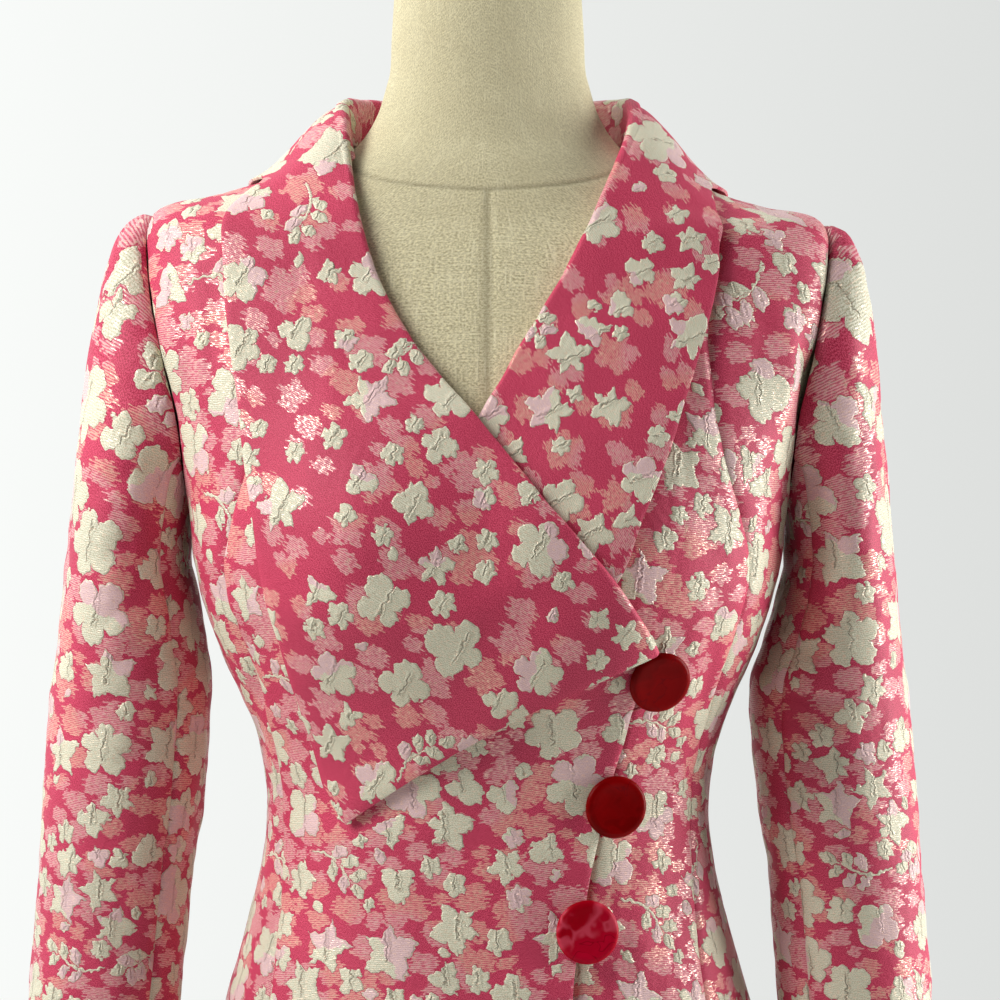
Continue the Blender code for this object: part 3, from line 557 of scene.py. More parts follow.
# all lengths in millimetres; a design is petals, notch depth, pointedness, lean to one side
jacquard = {
    "repeat": (270.0, 320.0),
    "gap": 1.3,                 # ground kept between two raised motifs
    "lobeReach": 1.35,          # no lobe reaches past this share of its radius
    "designs": {
        "roundFive": (5, 0.46, 0.0, 0.13), "roundFour": (4, 0.52, 0.0, 0.2),
        "star": (5, 0.5, 0.85, 0.1), "halfStar": (5, 0.54, 0.55, 0.18),
        "tulip": (3, 0.58, 0.35, 0.26), "bird": (3, 0.66, 0.75, 0.3),
        "clover": (4, 0.56, 0.2, 0.3), "rosette": (5, 0.4, 0.1, 0.06),
        "rosetteSix": (6, 0.36, 0.1, 0.05), "oval": (2, 0.36, 0.75, 0.1),
        "leaf": (2, 0.42, 1.0, 0.1), "petal": (2, 0.3, 0.4, 0.16),
        "cloud": (2, 0.4, 0.1, 0.14), "streak": (2, 0.56, 0.2, 0.22),
    },
    # raised motifs in the order they are laid: designs, number, radii, share with a blush, its size
    "raised": [
        (("roundFive", "roundFour", "star", "halfStar", "roundFive"), 32, (14.0, 17.8), 0.64,
         (0.3, 0.62)),
        (("tulip", "bird", "clover", "halfStar", "roundFour"), 26, (9.6, 12.8), 0.42, (0.3, 0.55)),
        (("rosette", "rosetteSix", "rosette", "clover"), 40, (6.0, 8.6), 0.22, (0.4, 1.0)),
        (("oval", "leaf", "rosette", "petal"), 34, (4.0, 5.8), 0.36, (0.8, 1.0)),
    ],
    "openRaised": (0.78, 0.66, 0.9, 0.45),  # share of those numbers on the lapels
    "sprigs": 5, "openSprigs": 4,
    # flat hatched shapes behind them
    "hatched": [(("roundFive", "roundFour", "halfStar"), 34, (11.5, 16.5)),
                (("cloud", "streak", "cloud"), 150, (6.6, 10.5)),
                (("cloud", "streak", "rosette"), 70, (4.6, 6.6))],
    "openHatched": (1.0, 0.62, 0.25),
    "hatchPitch": 1.05, "ribPitch": 1.1, "threadStep": 0.5,
    "ground": linear(216, 80, 112), "groundDark": linear(172, 36, 68),
    "cream": linear(231, 229, 209), "creamDeep": linear(192, 188, 160),
    "blush": linear(232, 201, 202), "blushDeep": linear(214, 176, 180),
    "hatchLine": linear(238, 186, 188), "hatchGold": linear(238, 180, 164),
    # the crease colour is painted shade, darkening the puckers' troughs
    # the rim colour is painted shadow, a thin dark ring round the raised motifs
    "glint": linear(252, 214, 186), "creaseAndShade": linear(126, 112, 92), "rim": linear(120, 14, 56),
}


def outline(x, y, motif):  # below nought inside a motif
    radius, petals, depth, pointed, turn, lean = np.moveaxis(motif[..., 2:8], -1, 0)
    c, s = np.cos(turn), np.sin(turn)
    x, y = x * c + y * s, y * c - x * s
    around = np.arctan2(y, x)
    lobe = np.abs(np.cos(around * petals / 2)) ** 0.55
    spike = 1 - np.abs(np.sin(around * petals / 2)) ** 0.75
    shape = lobe + (spike - lobe) * np.minimum(pointed, 1)
    reach = radius * (1 - depth * (1 - shape) + lean * np.cos(around))
    stem = np.maximum(np.abs(y + 0.02 * x * x) - depth, np.abs(x) - radius)
    return np.where(pointed > 1.5, stem, np.hypot(x, y) - reach)


def wrapped(gaps):
    repeat = np.array(jacquard["repeat"])
    return gaps - np.round(gaps / repeat) * repeat


def fits(motif, others, gap):
    if not len(others):
        return True
    others = np.array(others)
    centres = wrapped(others[:, :2] - motif[:2])
    near = np.hypot(*centres.T) < (others[:, 2] + motif[2]) * jacquard["lobeReach"] + gap
    if not near.any():
        return True
    others, centres = others[near], centres[near]
    if (outline(centres[:, 0], centres[:, 1], motif) < gap + 0.6).any():
        return False
    around = np.linspace(0, 2 * math.pi, 40, endpoint=False)
    ring = np.stack([np.cos(around), np.sin(around)], axis=-1)
    inner = outline(ring[:, 0] * 0.01, ring[:, 1] * 0.01, motif)
    border = ring * (0.01 - inner)[:, None]
    if motif[5] > 1.5:  # a stem
        way = np.linspace(-motif[2], motif[2], 14)
        border = np.stack([way * math.cos(motif[6]), way * math.sin(motif[6])], axis=-1)
    gaps = border[:, None] - centres[None]
    return (outline(gaps[..., 0], gaps[..., 1], others[None]) > gap).all()


def makeLayout(seed, raisedShare, sprigs, hatchedShare):
    dice = np.random.RandomState(seed)
    width, height = jacquard["repeat"]
    raised, hatched = [], []

    def motif(name, x, y, radius, turn, blush=0.0):
        petals, depth, pointed, lean = jacquard["designs"][name]
        lean = lean * dice.uniform(0.5, 1.35)
        depth = depth * dice.uniform(0.88, 1.12)
        return np.array([x, y, radius, petals, depth, pointed, turn, lean, blush])

    placed = 0
    while placed < sprigs:  # a bowed stem with leaves in uneven pairs and one at its tip
        x, y, turn = dice.uniform(0, width), dice.uniform(0, height), dice.uniform(0, 2 * math.pi)
        length = dice.uniform(14.5, 18.5)
        parts = [np.array([x, y, length, 2, 0.8, 2.0, turn, 0.0, 0.0])]
        for way, hand in ((-0.28, 1), (-0.05, -1), (0.3, 1), (0.52, -1), (0.82, 1), (1.34, 0)):
            size = dice.uniform(5.7, 7.0)
            lie = turn + hand * dice.uniform(0.75, 1.05)
            reach = size * 0.96 + 0.9
            bow = -0.02 * (way * length) ** 2 if hand else -0.012 * (way * length) ** 2
            stemX = x + way * length * math.cos(turn) - bow * math.sin(turn)
            stemY = y + way * length * math.sin(turn) + bow * math.cos(turn)
            if hand == 0:
                reach, lie = 0.0, turn - 0.3
            blush = 0.92 if dice.uniform() < 0.4 else 0.0
            parts.append(motif("leaf", stemX + reach * math.cos(lie), stemY + reach * math.sin(lie),
                               size, lie, blush))
        if all(fits(part, raised, jacquard["gap"]) for part in parts):
            raised.extend(parts)
            placed += 1

    def lay(motifs, names, number, radii, turns, gap, blushShare=0.0, blushSize=()):
        for attempt in range(number * 60):
            if number == 0:
                break
            blush = dice.uniform(*blushSize) if blushShare and dice.uniform() < blushShare else 0.0
            one = motif(names[dice.randint(len(names))], dice.uniform(0, width),
                        dice.uniform(0, height), dice.uniform(*radii), dice.uniform(*turns), blush)
            if fits(one, motifs, gap(one)):
                motifs.append(one)
                number -= 1

    for (names, number, radii, *blush), share in zip(jacquard["raised"], raisedShare):
        lay(raised, names, int(number * share), radii, (0, 2 * math.pi),
            lambda one: jacquard["gap"], *blush)
    for (names, number, radii), share in zip(jacquard["hatched"], hatchedShare):
        lay(hatched, names, int(number * share), radii, (-0.5, 0.5),
            lambda one: -0.8 if one[2] > 7.5 else 0.5)
    return {"raised": nearestTable(np.array(raised), 3), "hatched": nearestTable(np.array(hatched), 2)}


def nearestTable(motifs, count):  # for each small square of the repeat, the motifs that reach into it
    cell, beyond = 2.5, 2.4
    width, height = jacquard["repeat"]
    columns, rows = int(width / cell), int(height / cell)
    x, y = np.meshgrid((np.arange(columns) + 0.5) * cell, (np.arange(rows) + 0.5) * cell)
    centres = np.stack([x.ravel(), y.ravel()], axis=-1)
    nearest = np.full((len(centres), len(motifs)), 1e3)
    for offset in ((0, 0), (1, 1), (-1, 1), (1, -1), (-1, -1)):
        gaps = wrapped(centres[:, None] + np.array(offset) * beyond - motifs[None, :, :2])
        nearest = np.minimum(nearest, outline(gaps[..., 0], gaps[..., 1], motifs[None]))
    order = np.argsort(nearest, axis=1)[:, :count]
    return {"motifs": motifs, "cell": cell, "columns": columns, "rows": rows, "order": order}


layouts = {"dense": makeLayout(11, (1, 1, 1, 1), jacquard["sprigs"], (1, 1, 1)),
           "open": makeLayout(23, jacquard["openRaised"], jacquard["openSprigs"],
                              jacquard["openHatched"])}
print("jacquard drawn:", {name: len(layout["raised"]["motifs"]) for name, layout in layouts.items()})


def weaveInto(mesh, layout):
    # each face learns which motifs reach it; each corner its place from their middles
    corners = np.empty(len(mesh.loops) * 2)
    mesh.uv_layers["cloth"].data.foreach_get("uv", corners)
    corners = corners.reshape(-1, 2) * 1000
    totals = np.empty(len(mesh.polygons), dtype=int)
    mesh.polygons.foreach_get("loop_total", totals)
    face = np.repeat(np.arange(len(totals)), totals)
    middles = np.stack([np.bincount(face, corners[:, i]) / totals for i in (0, 1)], axis=-1)
    repeat = np.array(jacquard["repeat"])
    for kind, table in layout.items():
        column, row = (np.mod(middles, repeat) / table["cell"]).astype(int).T
        found = table["order"][row % table["rows"] * table["columns"] + column % table["columns"]]
        for slot, nearest in enumerate(found.T, start=1):
            motif = table["motifs"][nearest]
            centre = motif[:, :2] + np.round((middles - motif[:, :2]) / repeat) * repeat
            for part, value in (("Place", np.column_stack([corners - centre[face], motif[face, 2]])),
                                ("Form", motif[face, 3:6]), ("Turn", motif[face, 6:9])):
                data = mesh.attributes.new(f"{kind}{slot}{part}", "FLOAT_VECTOR", "CORNER").data
                data.foreach_set("vector", value.astype(np.float32).ravel())


# the same outline in nodes
def makeOutline(name, stems):
    zero = (0.0, 0.0, 0.0)
    group, given, made = newGroup(
        name, {"Place": zero, "Form": (5.0, 0.4, 0.0), "Turn": zero, "Drift": zero},
        {"Distance": "Float", "Radius": "Float", "Local": "Vector", "Straight": "Vector",
         "Blush": "Float"})
    placeX, placeY, radius = split(given["Place"])
    petals, depth, pointed = split(given["Form"])
    turn, lean, blush = split(given["Turn"])
    straight = moved(join(placeX, placeY), given["Drift"])
    local = newNode("VectorRotate", (straight, times(turn, -1.0)), ("Vector", "Angle"),
                    rotation_type="Z_AXIS").outputs[0]
    x, y, _ = split(local)
    around = turnOf(y, x)
    half = times(around, petals, 0.5)
    lobe = raisedTo(sizeOf(cosineOf(half)), 0.55)
    spike = minus(1.0, raisedTo(sizeOf(sineOf(half)), 0.75))
    shape = timesPlus(minus(spike, lobe), least(pointed, 1.0), lobe)
    reach = timesPlus(lean, cosineOf(around), timesPlus(depth, minus(shape, 1.0), 1.0))
    length = newNode("VectorMath", (local,), operation="LENGTH").outputs["Value"]
    distance = minus(length, times(radius, reach))
    if stems:
        stem = most(minus(sizeOf(timesPlus(times(x, x), 0.02, y)), depth), minus(sizeOf(x), radius))
        distance = timesPlus(minus(stem, distance), above(pointed, 1.5), distance)
    paint(made, {"Distance": distance, "Radius": radius, "Local": local, "Straight": straight,
                 "Blush": blush})
    return group


def makeJacquard():
    material, tree, shader = newMaterial("pinkJacquard")
    outlines = {"raised": makeOutline("motifOutline", True),
                "hatched": makeOutline("flatOutline", False)}
    place = clothPlace(tree)
    u, v, _ = split(place)
    wander = noise(place, 0.3, 0.0, flat=True)

    def chance(pitch):  # a number for each thread or line
        return newNode("TexWhiteNoise", (floorOf(over(v, pitch)),), ("W",),
                       noise_dimensions="1D").outputs["Value"]

    # outlines step from thread to thread, hatched ones from line to line
    drift = join(plus(timesPlus(chance(jacquard["threadStep"]), 0.8, -0.4),
                      timesPlus(wander, 3.0, -1.5)), timesPlus(wander, -3.0, 1.5))
    drifts = {"raised": drift,
              "hatched": moved(drift, join(timesPlus(chance(jacquard["hatchPitch"]), 4.4, -2.2), 0.0))}

    def motifs(kind, count):
        return [useGroup(outlines[kind], Drift=drifts[kind],
                         **{part: attribute(tree, f"{kind}{slot}{part}")
                            for part in ("Place", "Form", "Turn")}) for slot in range(1, count + 1)]

    blossoms = motifs("raised", 3)
    raised = least(*(blossom["Distance"] for blossom in blossoms))
    hatched = least(*(flat["Distance"] for flat in motifs("hatched", 2)))
    creamMask = band(raised, 0.1, -0.1)

    blush, creaseAndShade, ridge = 0.0, 0.0, 0.0
    for blossom in blossoms[:2]:
        # one part of a blossom is pale pink, kept off its rim
        x, y, _ = split(blossom["Local"])
        straightX, straightY, _ = split(blossom["Straight"])
        radius, distance, share = blossom["Radius"], blossom["Distance"], blossom["Blush"]
        past = plus(y, times(sineOf(times(x, 0.45)), 1.3), times(radius, timesPlus(share, 2.2, -1.15)))
        blush = most(blush, times(band(past, -0.12, 0.12), band(distance, -0.5, -0.75),
                                  above(share, 0.05)))
        # a pucker along the warp through the middle, its trough darkened with painted shade
        near = sizeOf(timesPlus(sineOf(timesPlus(straightY, 0.33, radius)), 0.25, straightX))
        length = minus(times(radius, 0.62), sizeOf(timesPlus(radius, -0.12, straightY)))
        inside = times(band(length, -0.4, 1.6), band(distance, 0.0, -0.9), above(radius, 4.6))
        creaseAndShade = most(creaseAndShade, times(inside, band(near, 0.42, 0.05)))
        ridge = most(ridge, times(inside, band(near, 0.4, 1.1), band(near, 2.6, 1.1)))

    # fine structure
    grains = noise(join(times(u, 2.0), v), 1.35, 0.0, flat=True)
    broad = noise(place, 0.022, 0.0, flat=True)
    strands = noise(join(times(u, 0.22), v), 1.7, 0.0, flat=True)
    twill = sineOf(times(plus(u, v), 2 * math.pi / 1.3))
    ribs = sineOf(timesPlus(v, 2 * math.pi / jacquard["ribPitch"], times(wander, 6.0)))
    lines = sineOf(times(v, 2 * math.pi / jacquard["hatchPitch"]))
    hatchMask = times(band(hatched, 0.2, -0.2), band(raised, 0.3, 0.6))
    hatchLines = times(band(plus(lines, timesPlus(strands, 3.4, -1.7)), -0.5, 0.5), hatchMask)

    colour = blend(band(timesPlus(twill, 0.05, grains), 0.34, 0.66), jacquard["groundDark"],
                   jacquard["ground"])
    hatchTone = blend(band(broad, 0.48, 0.62), jacquard["hatchLine"], jacquard["hatchGold"])
    colour = blend(times(hatchLines, 0.74), colour, hatchTone)
    colour = blend(times(hatchMask, 0.16), colour, hatchTone)
    cream = blend(band(timesPlus(ribs, 0.12, grains), 0.3, 0.6), jacquard["creamDeep"],
                  jacquard["cream"])
    # painted shade in the puckers' troughs
    cream = blend(times(creaseAndShade, 0.75), cream, jacquard["creaseAndShade"])
    pink = blend(band(grains, 0.3, 0.62), jacquard["blushDeep"], jacquard["blush"])
    cream = blend(blush, cream, pink)
    colour = blend(creamMask, colour, cream)
    # painted shadow: a thin dark ring just outside the edge of each raised motif
    rim = times(band(raised, 0.9, 0.1), band(raised, -0.1, 0.1))
    colour = blend(times(rim, 0.3), colour, jacquard["rim"])
    # lurex glints along the weft
    spark = times(band(timesPlus(grains, 0.5, strands), 0.9, 0.98),
                  most(hatchMask, times(creamMask, 0.8)))
    colour = blend(times(spark, 0.55), colour, jacquard["glint"])

    height = times(band(raised, 0.25, -1.6), 0.4)
    for part, share in ((ridge, 0.3), (creaseAndShade, -0.42), (times(ribs, creamMask), 0.05), (grains, 0.07),
                        (wander, 0.16)):
        height = timesPlus(part, share, height)
    roughness = timesPlus(spark, -0.3, between(grains, 0.2, 0.8, 0.52, 0.7))
    roughness = timesPlus(hatchMask, -0.08, roughness)
    paint(shader, {"Base Color": scaled(colour, between(broad, 0.3, 0.7, 0.95, 1.04)),
                   "Roughness": roughness, "Metallic": times(spark, 0.4), "Normal": bump(height, 0.001),
                   "Specular IOR Level": 0.3})
    return material


jacquardCloth = makeJacquard()
print("jacquard ready")

# ---- body panels

panelGap = 0.00012
grainOf = {  # turn of the grain in degrees, and where the piece lies on the cloth
    "left_front": (0, 0.11, 0.02), "right_front": (0, 0.48, 0.31),
    "left_side_front": (0, 0.93, 0.14), "right_side_front": (0, 1.21, 0.42),
    "left_side_back": (0, 1.5, 0.08), "right_side_back": (0, 1.83, 0.51),
    "left_back": (0, 2.14, 0.27), "right_back": (0, 2.46, 0.64),
    "left_lapel": (44.5, 2.9, 0.33), "right_lapel": (-133.0, 3.4, 0.18),
    "left_upper_sleeve": (0, 3.9, 0.09), "right_upper_sleeve": (0, 4.3, 0.47),
    "left_under_sleeve": (0, 4.7, 0.21), "right_under_sleeve": (0, 5.1, 0.35),
}


def outerBound(side):  # up the side seam, then round the armhole to the shoulder
    low, high = jacket["underarm"], jacket["shoulderTip"]
    spread = side * jacket["armholeBack" if side > 0 else "armholeFront"]

    def at(level):
        across = np.sqrt(np.maximum(0.0, 1 - ((2 * level - low - high) / (high - low)) ** 2))
        return np.where(level < low, along(sideSeam, level), 90 + spread * across)
    return at


def seamBound(pairs, top=99.0):  # past its top a seam gives way to the shoulder's line
    return lambda level: np.where(level < top, along(pairs, level), 90.0)


def straightBack(level):
    return np.full(np.shape(level), 180.0)


def wayAlong(points, longest=1.0):
    steps = np.linalg.norm(np.diff(points, axis=0), axis=-1)
    return np.concatenate([[0.0], np.cumsum(np.minimum(steps, longest))])


def addPanel(node, low, high, lift, top, sign, columns, rows, inner="sewn",
             innerRoom=lambda level: 0.0):
    # rows follow the rings, spaced evenly up the panel's middle
    fine = np.linspace(0.0, top, 400)
    way = wayAlong(skin(sign * (low(fine) + high(fine)) / 2, fine), 0.004)

    def shape(s, t):
        level = np.interp(t * way[-1], way, fine)
        first = low(level) + inset(low, sign, level, panelGap / 2 + innerRoom(level))
        last = high(level) - inset(high, sign, level, panelGap / 2)
        angle = sign * (first + (last - first) * (s if sign > 0 else 1 - s))
        return body(angle, level, lift(angle, level))

    innerSide, outerSide = ("first", "last") if sign > 0 else ("last", "first")
    addSheet(node, shape, columns, rows, {innerSide: inner, outerSide: "sewn", "low": "turned"},
             bodyRelief)


for side, sign in (("left", 1), ("right", -1)):
    line, folds = frontLines[side]
    addPanel(f"{side}_side_front", seamBound(frontPrincess), outerBound(-1), plainLift,
             jacket["sideTop"], sign, 20, 150)
    addPanel(f"{side}_side_back", outerBound(1), seamBound(backPrincess), plainLift,
             jacket["sideTop"], sign, 24, 150)
    addPanel(f"{side}_back", seamBound(backPrincess, jacket["shoulderStart"]), straightBack, plainLift,
             jacket["neckline"], sign, 26, 156)
    addPanel(f"{side}_front", lambda level: sign * along(line, level),
             seamBound(frontPrincess, jacket["shoulderStart"]),
             underFrontLift if side == "left" else topFrontLift, jacket["neckline"], sign,
             120 if side == "left" else 60, 156, "turned",
             lambda level: (along(folds, level) + jacket["foldRoom"]) * ease(
                 -jacket["foldStart"], 0.0, level - folds[0][0]))
print("body panels ready")

# ---- lapels with their halves of the shawl collar

collar = {"round": 0.014, "flare": 0.018, "backInset": 0.004, "ribs": 128, "turnSteps": 12,
          "fallSteps": 38, "edgeLift": 0.0017}
foldPart, edgePart, seamPart = slice(0, 3), slice(3, 6), slice(6, 9)
foldPlace, edgePlace = slice(9, 11), slice(11, 13)


def collarStations(side):
    sign = 1 if side == "left" else -1
    lift = plainLift if side == "left" else topLift
    rows = leftLapel if side == "left" else rightLapel
    stations = []
    for i, (foldX, foldZ, edgeX, edgeZ, radius) in enumerate(rows):
        foldAt = onFront(foldX, foldZ, lift(*onFront(foldX, foldZ)) + radius)
        edgeAt = onFront(edgeX, edgeZ, lift(*onFront(edgeX, edgeZ)) + jacket["lapelSpacing"])
        fold = body(*foldAt, lift(*foldAt) + radius)
        edge = body(*edgeAt, lift(*edgeAt) + jacket["lapelSpacing"])
        standing = 0.25 if i == len(rows) - 1 else 0.0
        stations.append(np.concatenate([fold, edge, fold, foldAt, edgeAt, [radius, standing]]))
    for i, row in enumerate(collarRows):
        fold = np.array([sign * row[0], row[1], row[2]])
        edgeAt, seamAt = np.array([sign * row[3], row[4]]), np.array([sign * row[5], row[6]])
        stations.append(np.concatenate([fold, body(*edgeAt, middleOfCloth + jacket["lapelSpacing"]),
                                        body(*seamAt, middleOfCloth), seamAt, edgeAt,
                                        [row[7], 0.75 if i == 0 else 1.0]]))
    pastBack = stations[-2].copy()
    pastBack[[0, 3, 6]] *= -1
    pastBack[[9, 11]] = 2 * stations[-1][[9, 11]] - stations[-2][[9, 11]]
    return np.array(stations + [pastBack])


def collarRib(stations, place, lift):  # from the seam round the fold to the free edge
    row = smoothRow(stations, place)
    ahead = unit((smoothRow(stations, place + 0.05) - smoothRow(stations, place - 0.05))[foldPart])
    radius, standing = row[13], min(max(row[14], 0.0), 1.0)
    fold, edge, foldAt, edgeAt = row[foldPart], row[edgePart], row[foldPlace], row[edgePlace]
    away = unit(np.cross(ahead, skinNormal(*foldAt)))
    if np.dot(away, fold - edge) < 0:
        away = -away
    up = np.array([0.0, 0.0, 1.0])
    up = unit(up - ahead * np.dot(up, ahead))
    away = unit(away * (1 - standing) + up * standing)
    outward = unit(np.cross(ahead, away))
    if np.dot(outward, np.array([fold[0], fold[1], 0.0])) < 0:
        outward = -outward
    centre = fold - away * radius
    start = centre - outward * radius
    seam = start + (row[seamPart] - start) * ease(0.1, 0.7, standing)
    stand, turn = np.linalg.norm(start - seam), math.pi * radius
    way = (stand + turn) * np.arange(collar["turnSteps"])[:, None] / collar["turnSteps"]
    bend = np.maximum(way - stand, 0) / radius
    points = [np.where(way <= stand, seam + (start - seam) * way / max(stand, 1e-6),
                       centre - outward * radius * np.cos(bend) + away * radius * np.sin(bend))]
    first = centre + outward * radius
    rise = body(*edgeAt) - body(edgeAt[0], edgeAt[1] - 0.1)
    over = [first, first + outward * collar["round"] - away * collar["round"] * 0.3,
            edge + unit(rise) * collar["flare"], edge]
    begin = body(*foldAt, lift(*foldAt) + 2 * radius)
    t = np.linspace(0, 1, collar["fallSteps"] + 1)
    q = 1 - t
    at = foldAt + (edgeAt - foldAt) * t[:, None]
    spacing = 2 * radius * q + jacket["lapelSpacing"] * t + collar["edgeLift"] * t ** 6
    laid = body(at[:, 0], at[:, 1], lift(at[:, 0], at[:, 1]) + spacing)
    laid = laid + (first - begin) * (q ** 2)[:, None]
    t, q = t[:, None], q[:, None]
    hung = over[0] * q ** 3 + over[1] * 3 * q * q * t + over[2] * 3 * q * t * t + over[3] * t ** 3
    points.append(laid * (1 - standing) + hung * standing)
    return np.vstack(points)


# soft unevenness of the lapels, in the front view, in mm as above
lapelFolds = 0.001 * np.array([
    (-85, 700, -98, 620, 9, 0.8), (-60, 560, -20, 520, 10, -0.8), (30, 590, -30, 560, 9, 0.6),
    (70, 740, 82, 680, 8, 0.7), (100, 780, 90, 730, 8, -0.6), (-110, 770, -104, 710, 9, -0.7),
])


def lapelRelief(points):
    x, y, z = np.moveaxis(points, -1, 0)
    return foldHeight(x, z, lapelFolds) * ease(0.0, -0.04, y) + 0.8 * waveHeight(x + y, z)


for side, lift in (("left", plainLift), ("right", topLift)):
    stations = collarStations(side)
    fine = np.linspace(0, len(stations) - 2 - collar["backInset"], 600)
    route = smoothRow(stations, fine)
    way = wayAlong(route[:, edgePart] + route[:, foldPart])
    ribs = np.array([collarRib(stations, place, lift)
                     for place in np.interp(np.linspace(0, way[-1], collar["ribs"] + 1), way, fine)])
    lower, upper = "turned", "sewn"
    if side == "right":
        ribs, lower, upper = ribs[::-1], upper, lower
    addSheet(f"{side}_lapel", lambda s, t: ribs, ribs.shape[1] - 1, ribs.shape[0] - 1,
             {"low": lower, "high": upper, "last": "turned"}, lapelRelief, "open")
print("lapels and collar ready")

# ---- sleeves

# in mm: height, inner side, outer side, middle depth, half depth
sleeveRows = 0.001 * np.array([
    (585, 172.5, 239.5, 6, 62), (540, 162, 244, 6, 58), (511, 156, 248, 5, 53),
    (450, 160, 252, 2, 49), (411, 166, 254.5, -1, 47), (334, 172, 259, -8, 43),
    (265, 176.5, 262.5, -14, 41), (200, 180.5, 265.5, -20, 40),
])
sleeve = {"spread": {"right": 0.0045, "left": -0.0045}, "seams": (135.0, 225.0), "seamInset": 0.1,
          "gather": 0.0011, "gathers": 23, "gatherReach": 0.055, "rows": 156}


def sleeveRing(side, place, turn):
    z, inner, outer, depth, halfDepth = np.moveaxis(smoothRow(sleeveRows, place), -1, 0)
    inner = inner + sleeve["spread"][side] * ease(0.575, 0.5, z)
    outer = outer + sleeve["spread"][side]
    half = (outer - inner) / 2 - jacket["cloth"] / 2
    around = np.radians(turn)
    x = (inner + outer) / 2 + half * np.cos(around)
    y = depth - (halfDepth - jacket["cloth"] / 2) * np.sin(around)
    return np.stack([x if side == "left" else -x, y, z], axis=-1)


def sleeveCap(side, t, turn):
    sign = 1 if side == "left" else -1
    around = np.radians(turn)
    sine, cosine = np.sin(around), np.cos(around)
    spread = np.where(sine > 0, jacket["armholeFront"], jacket["armholeBack"])
    level = ((jacket["shoulderTip"] + jacket["underarm"])
             + (jacket["shoulderTip"] - jacket["underarm"]) * cosine) / 2
    seam = body(sign * (90 - spread * sine), level, np.full(np.shape(turn), -0.0004))
    ring = sleeveRing(side, np.zeros(np.shape(turn)), turn)
    out = unit(np.stack([np.full(np.shape(turn), float(sign)), -0.45 * sine, 0.22 * cosine], axis=-1))
    head = (0.003 + 0.015 * (1 + cosine))[..., None]
    hang = (0.008 + 0.055 * (1 + cosine))[..., None]
    lean = np.stack([-sign * 0.13 * (1 + cosine) / 2, 0 * sine, 1 + 0 * sine], axis=-1)
    gather = np.sin(around * sleeve["gathers"] + 1.7 * np.sin(around * 5 + 0.6 + sign)) + 0.5 * np.sin(
        around * 37 + 2.0 * sign)
    near = t / sleeve["gatherReach"]
    gather = sleeve["gather"] * gather * near * np.exp(1 - near) * ease(-0.35, 0.45, cosine)
    t = t[..., None]
    q = 1 - t
    return (seam * q ** 3 + (seam + out * head) * 3 * q * q * t + (ring + lean * hang) * 3 * q * t * t
            + ring * t ** 3 + out * gather[..., None])


def sleeveRelief(side):
    def relief(points):
        x, y, z = np.moveaxis(points, -1, 0)
        middle = 0.208 + sleeve["spread"][side]
        outwards = np.abs(x) - middle
        high = np.where(y < 0.002, foldHeight(outwards, z, sleeveFrontFolds),
                        foldHeight(outwards, z, sleeveBackFolds))
        slipped = 0.01 if side == "left" else -0.004  # the two sleeves don't crease alike
        low = foldHeight(outwards * 1.1, z + slipped, sleeveFrontFolds[:7])
        return 0.7 * high + 0.3 * low * ease(0.02, -0.01, y) + 1.2 * waveHeight(x + 1.3 * y, z)
    return relief


for side in ("left", "right"):
    for part, (low, high), columns in (("upper", (sleeve["seams"][1] - 360, sleeve["seams"][0]), 100),
                                       ("under", sleeve["seams"], 20)):

        def sleevePoints(place, turn):
            return np.where((place <= 1)[..., None], sleeveCap(side, np.minimum(place, 1.0), turn),
                            sleeveRing(side, np.maximum(place - 1, 0), turn))

        fine = np.linspace(0, len(sleeveRows), 600)
        way = wayAlong(sleevePoints(fine, np.full(600, (low + high) / 2)))

        def sleeveShape(s, t):
            first, last = low + sleeve["seamInset"], high - sleeve["seamInset"]
            turn = first + (last - first) * (s if side == "right" else 1 - s)
            return sleevePoints(np.interp((1 - t) * way[-1], way, fine), turn)

        addSheet(f"{side}_{part}_sleeve", sleeveShape, columns, sleeve["rows"],
                 {"first": "sewn", "last": "sewn", "low": "turned", "high": "sewn"}, sleeveRelief(side))
print("sleeves ready")

# ---- buttons and their cord loops

button = {
    # from the top: x, z, how far each follows the cloth's slope, height of its back over the cloth
    "places": [(0.0915, 0.527, 0.7, 0.0078), (0.069, 0.458, 0.62, 0.0066),
               (0.0535, 0.392, 0.62, 0.0066)],
    "radius": 0.017, "thickness": 0.0042, "shank": 0.0024, "shankEnd": 0.0011, "sides": 96,
    # shares of the radius and of the thickness, from the middle of the face round the rim
    "profile": [(0.0, 0.8), (0.25, 0.8), (0.5, 0.83), (0.68, 0.92), (0.8, 1.0), (0.88, 0.98),
                (0.94, 0.87), (0.98, 0.7), (1.0, 0.5), (0.99, 0.32), (0.95, 0.14), (0.88, 0.02),
                (0.84, 0.0)],
}
# dark, light, veins, share of the veins, their width
redTones = {"redPlastic": (linear(106, 0, 0), linear(136, 0, 3), linear(150, 4, 12), 0.2, 0.03),
            "marbledRedPlastic": (linear(152, 0, 20), linear(178, 6, 40), linear(206, 74, 96),
                                  0.62, 0.075)}


def makeRedPlastic(name):
    dark, light, veiled, veilShare, veilWidth = redTones[name]
    material, tree, shader = newMaterial(name)
    spot = spotOn(tree)
    swirl = noise(spot, 60.0)
    folded = noise(moved(spot, scaled(join(swirl, swirl, swirl), 0.03)), 42.0)
    colour = blend(band(folded, 0.32, 0.66), dark, light)
    for middle, width, share, tone in ((0.46, veilWidth, veilShare, veiled),
                                       (0.58, 0.01, 0.6, linear(104, 0, 10))):
        colour = blend(times(band(sizeOf(minus(folded, middle)), width, 0.0), share), colour, tone)
    paint(shader, {"Base Color": colour, "Roughness": between(noise(spot, 900.0), 0.3, 0.7, 0.3, 0.4),
                   "Normal": bump(folded, 0.0002), "Coat Weight": 0.02, "Coat Roughness": 0.12,
                   "Specular IOR Level": 0.06})
    return material


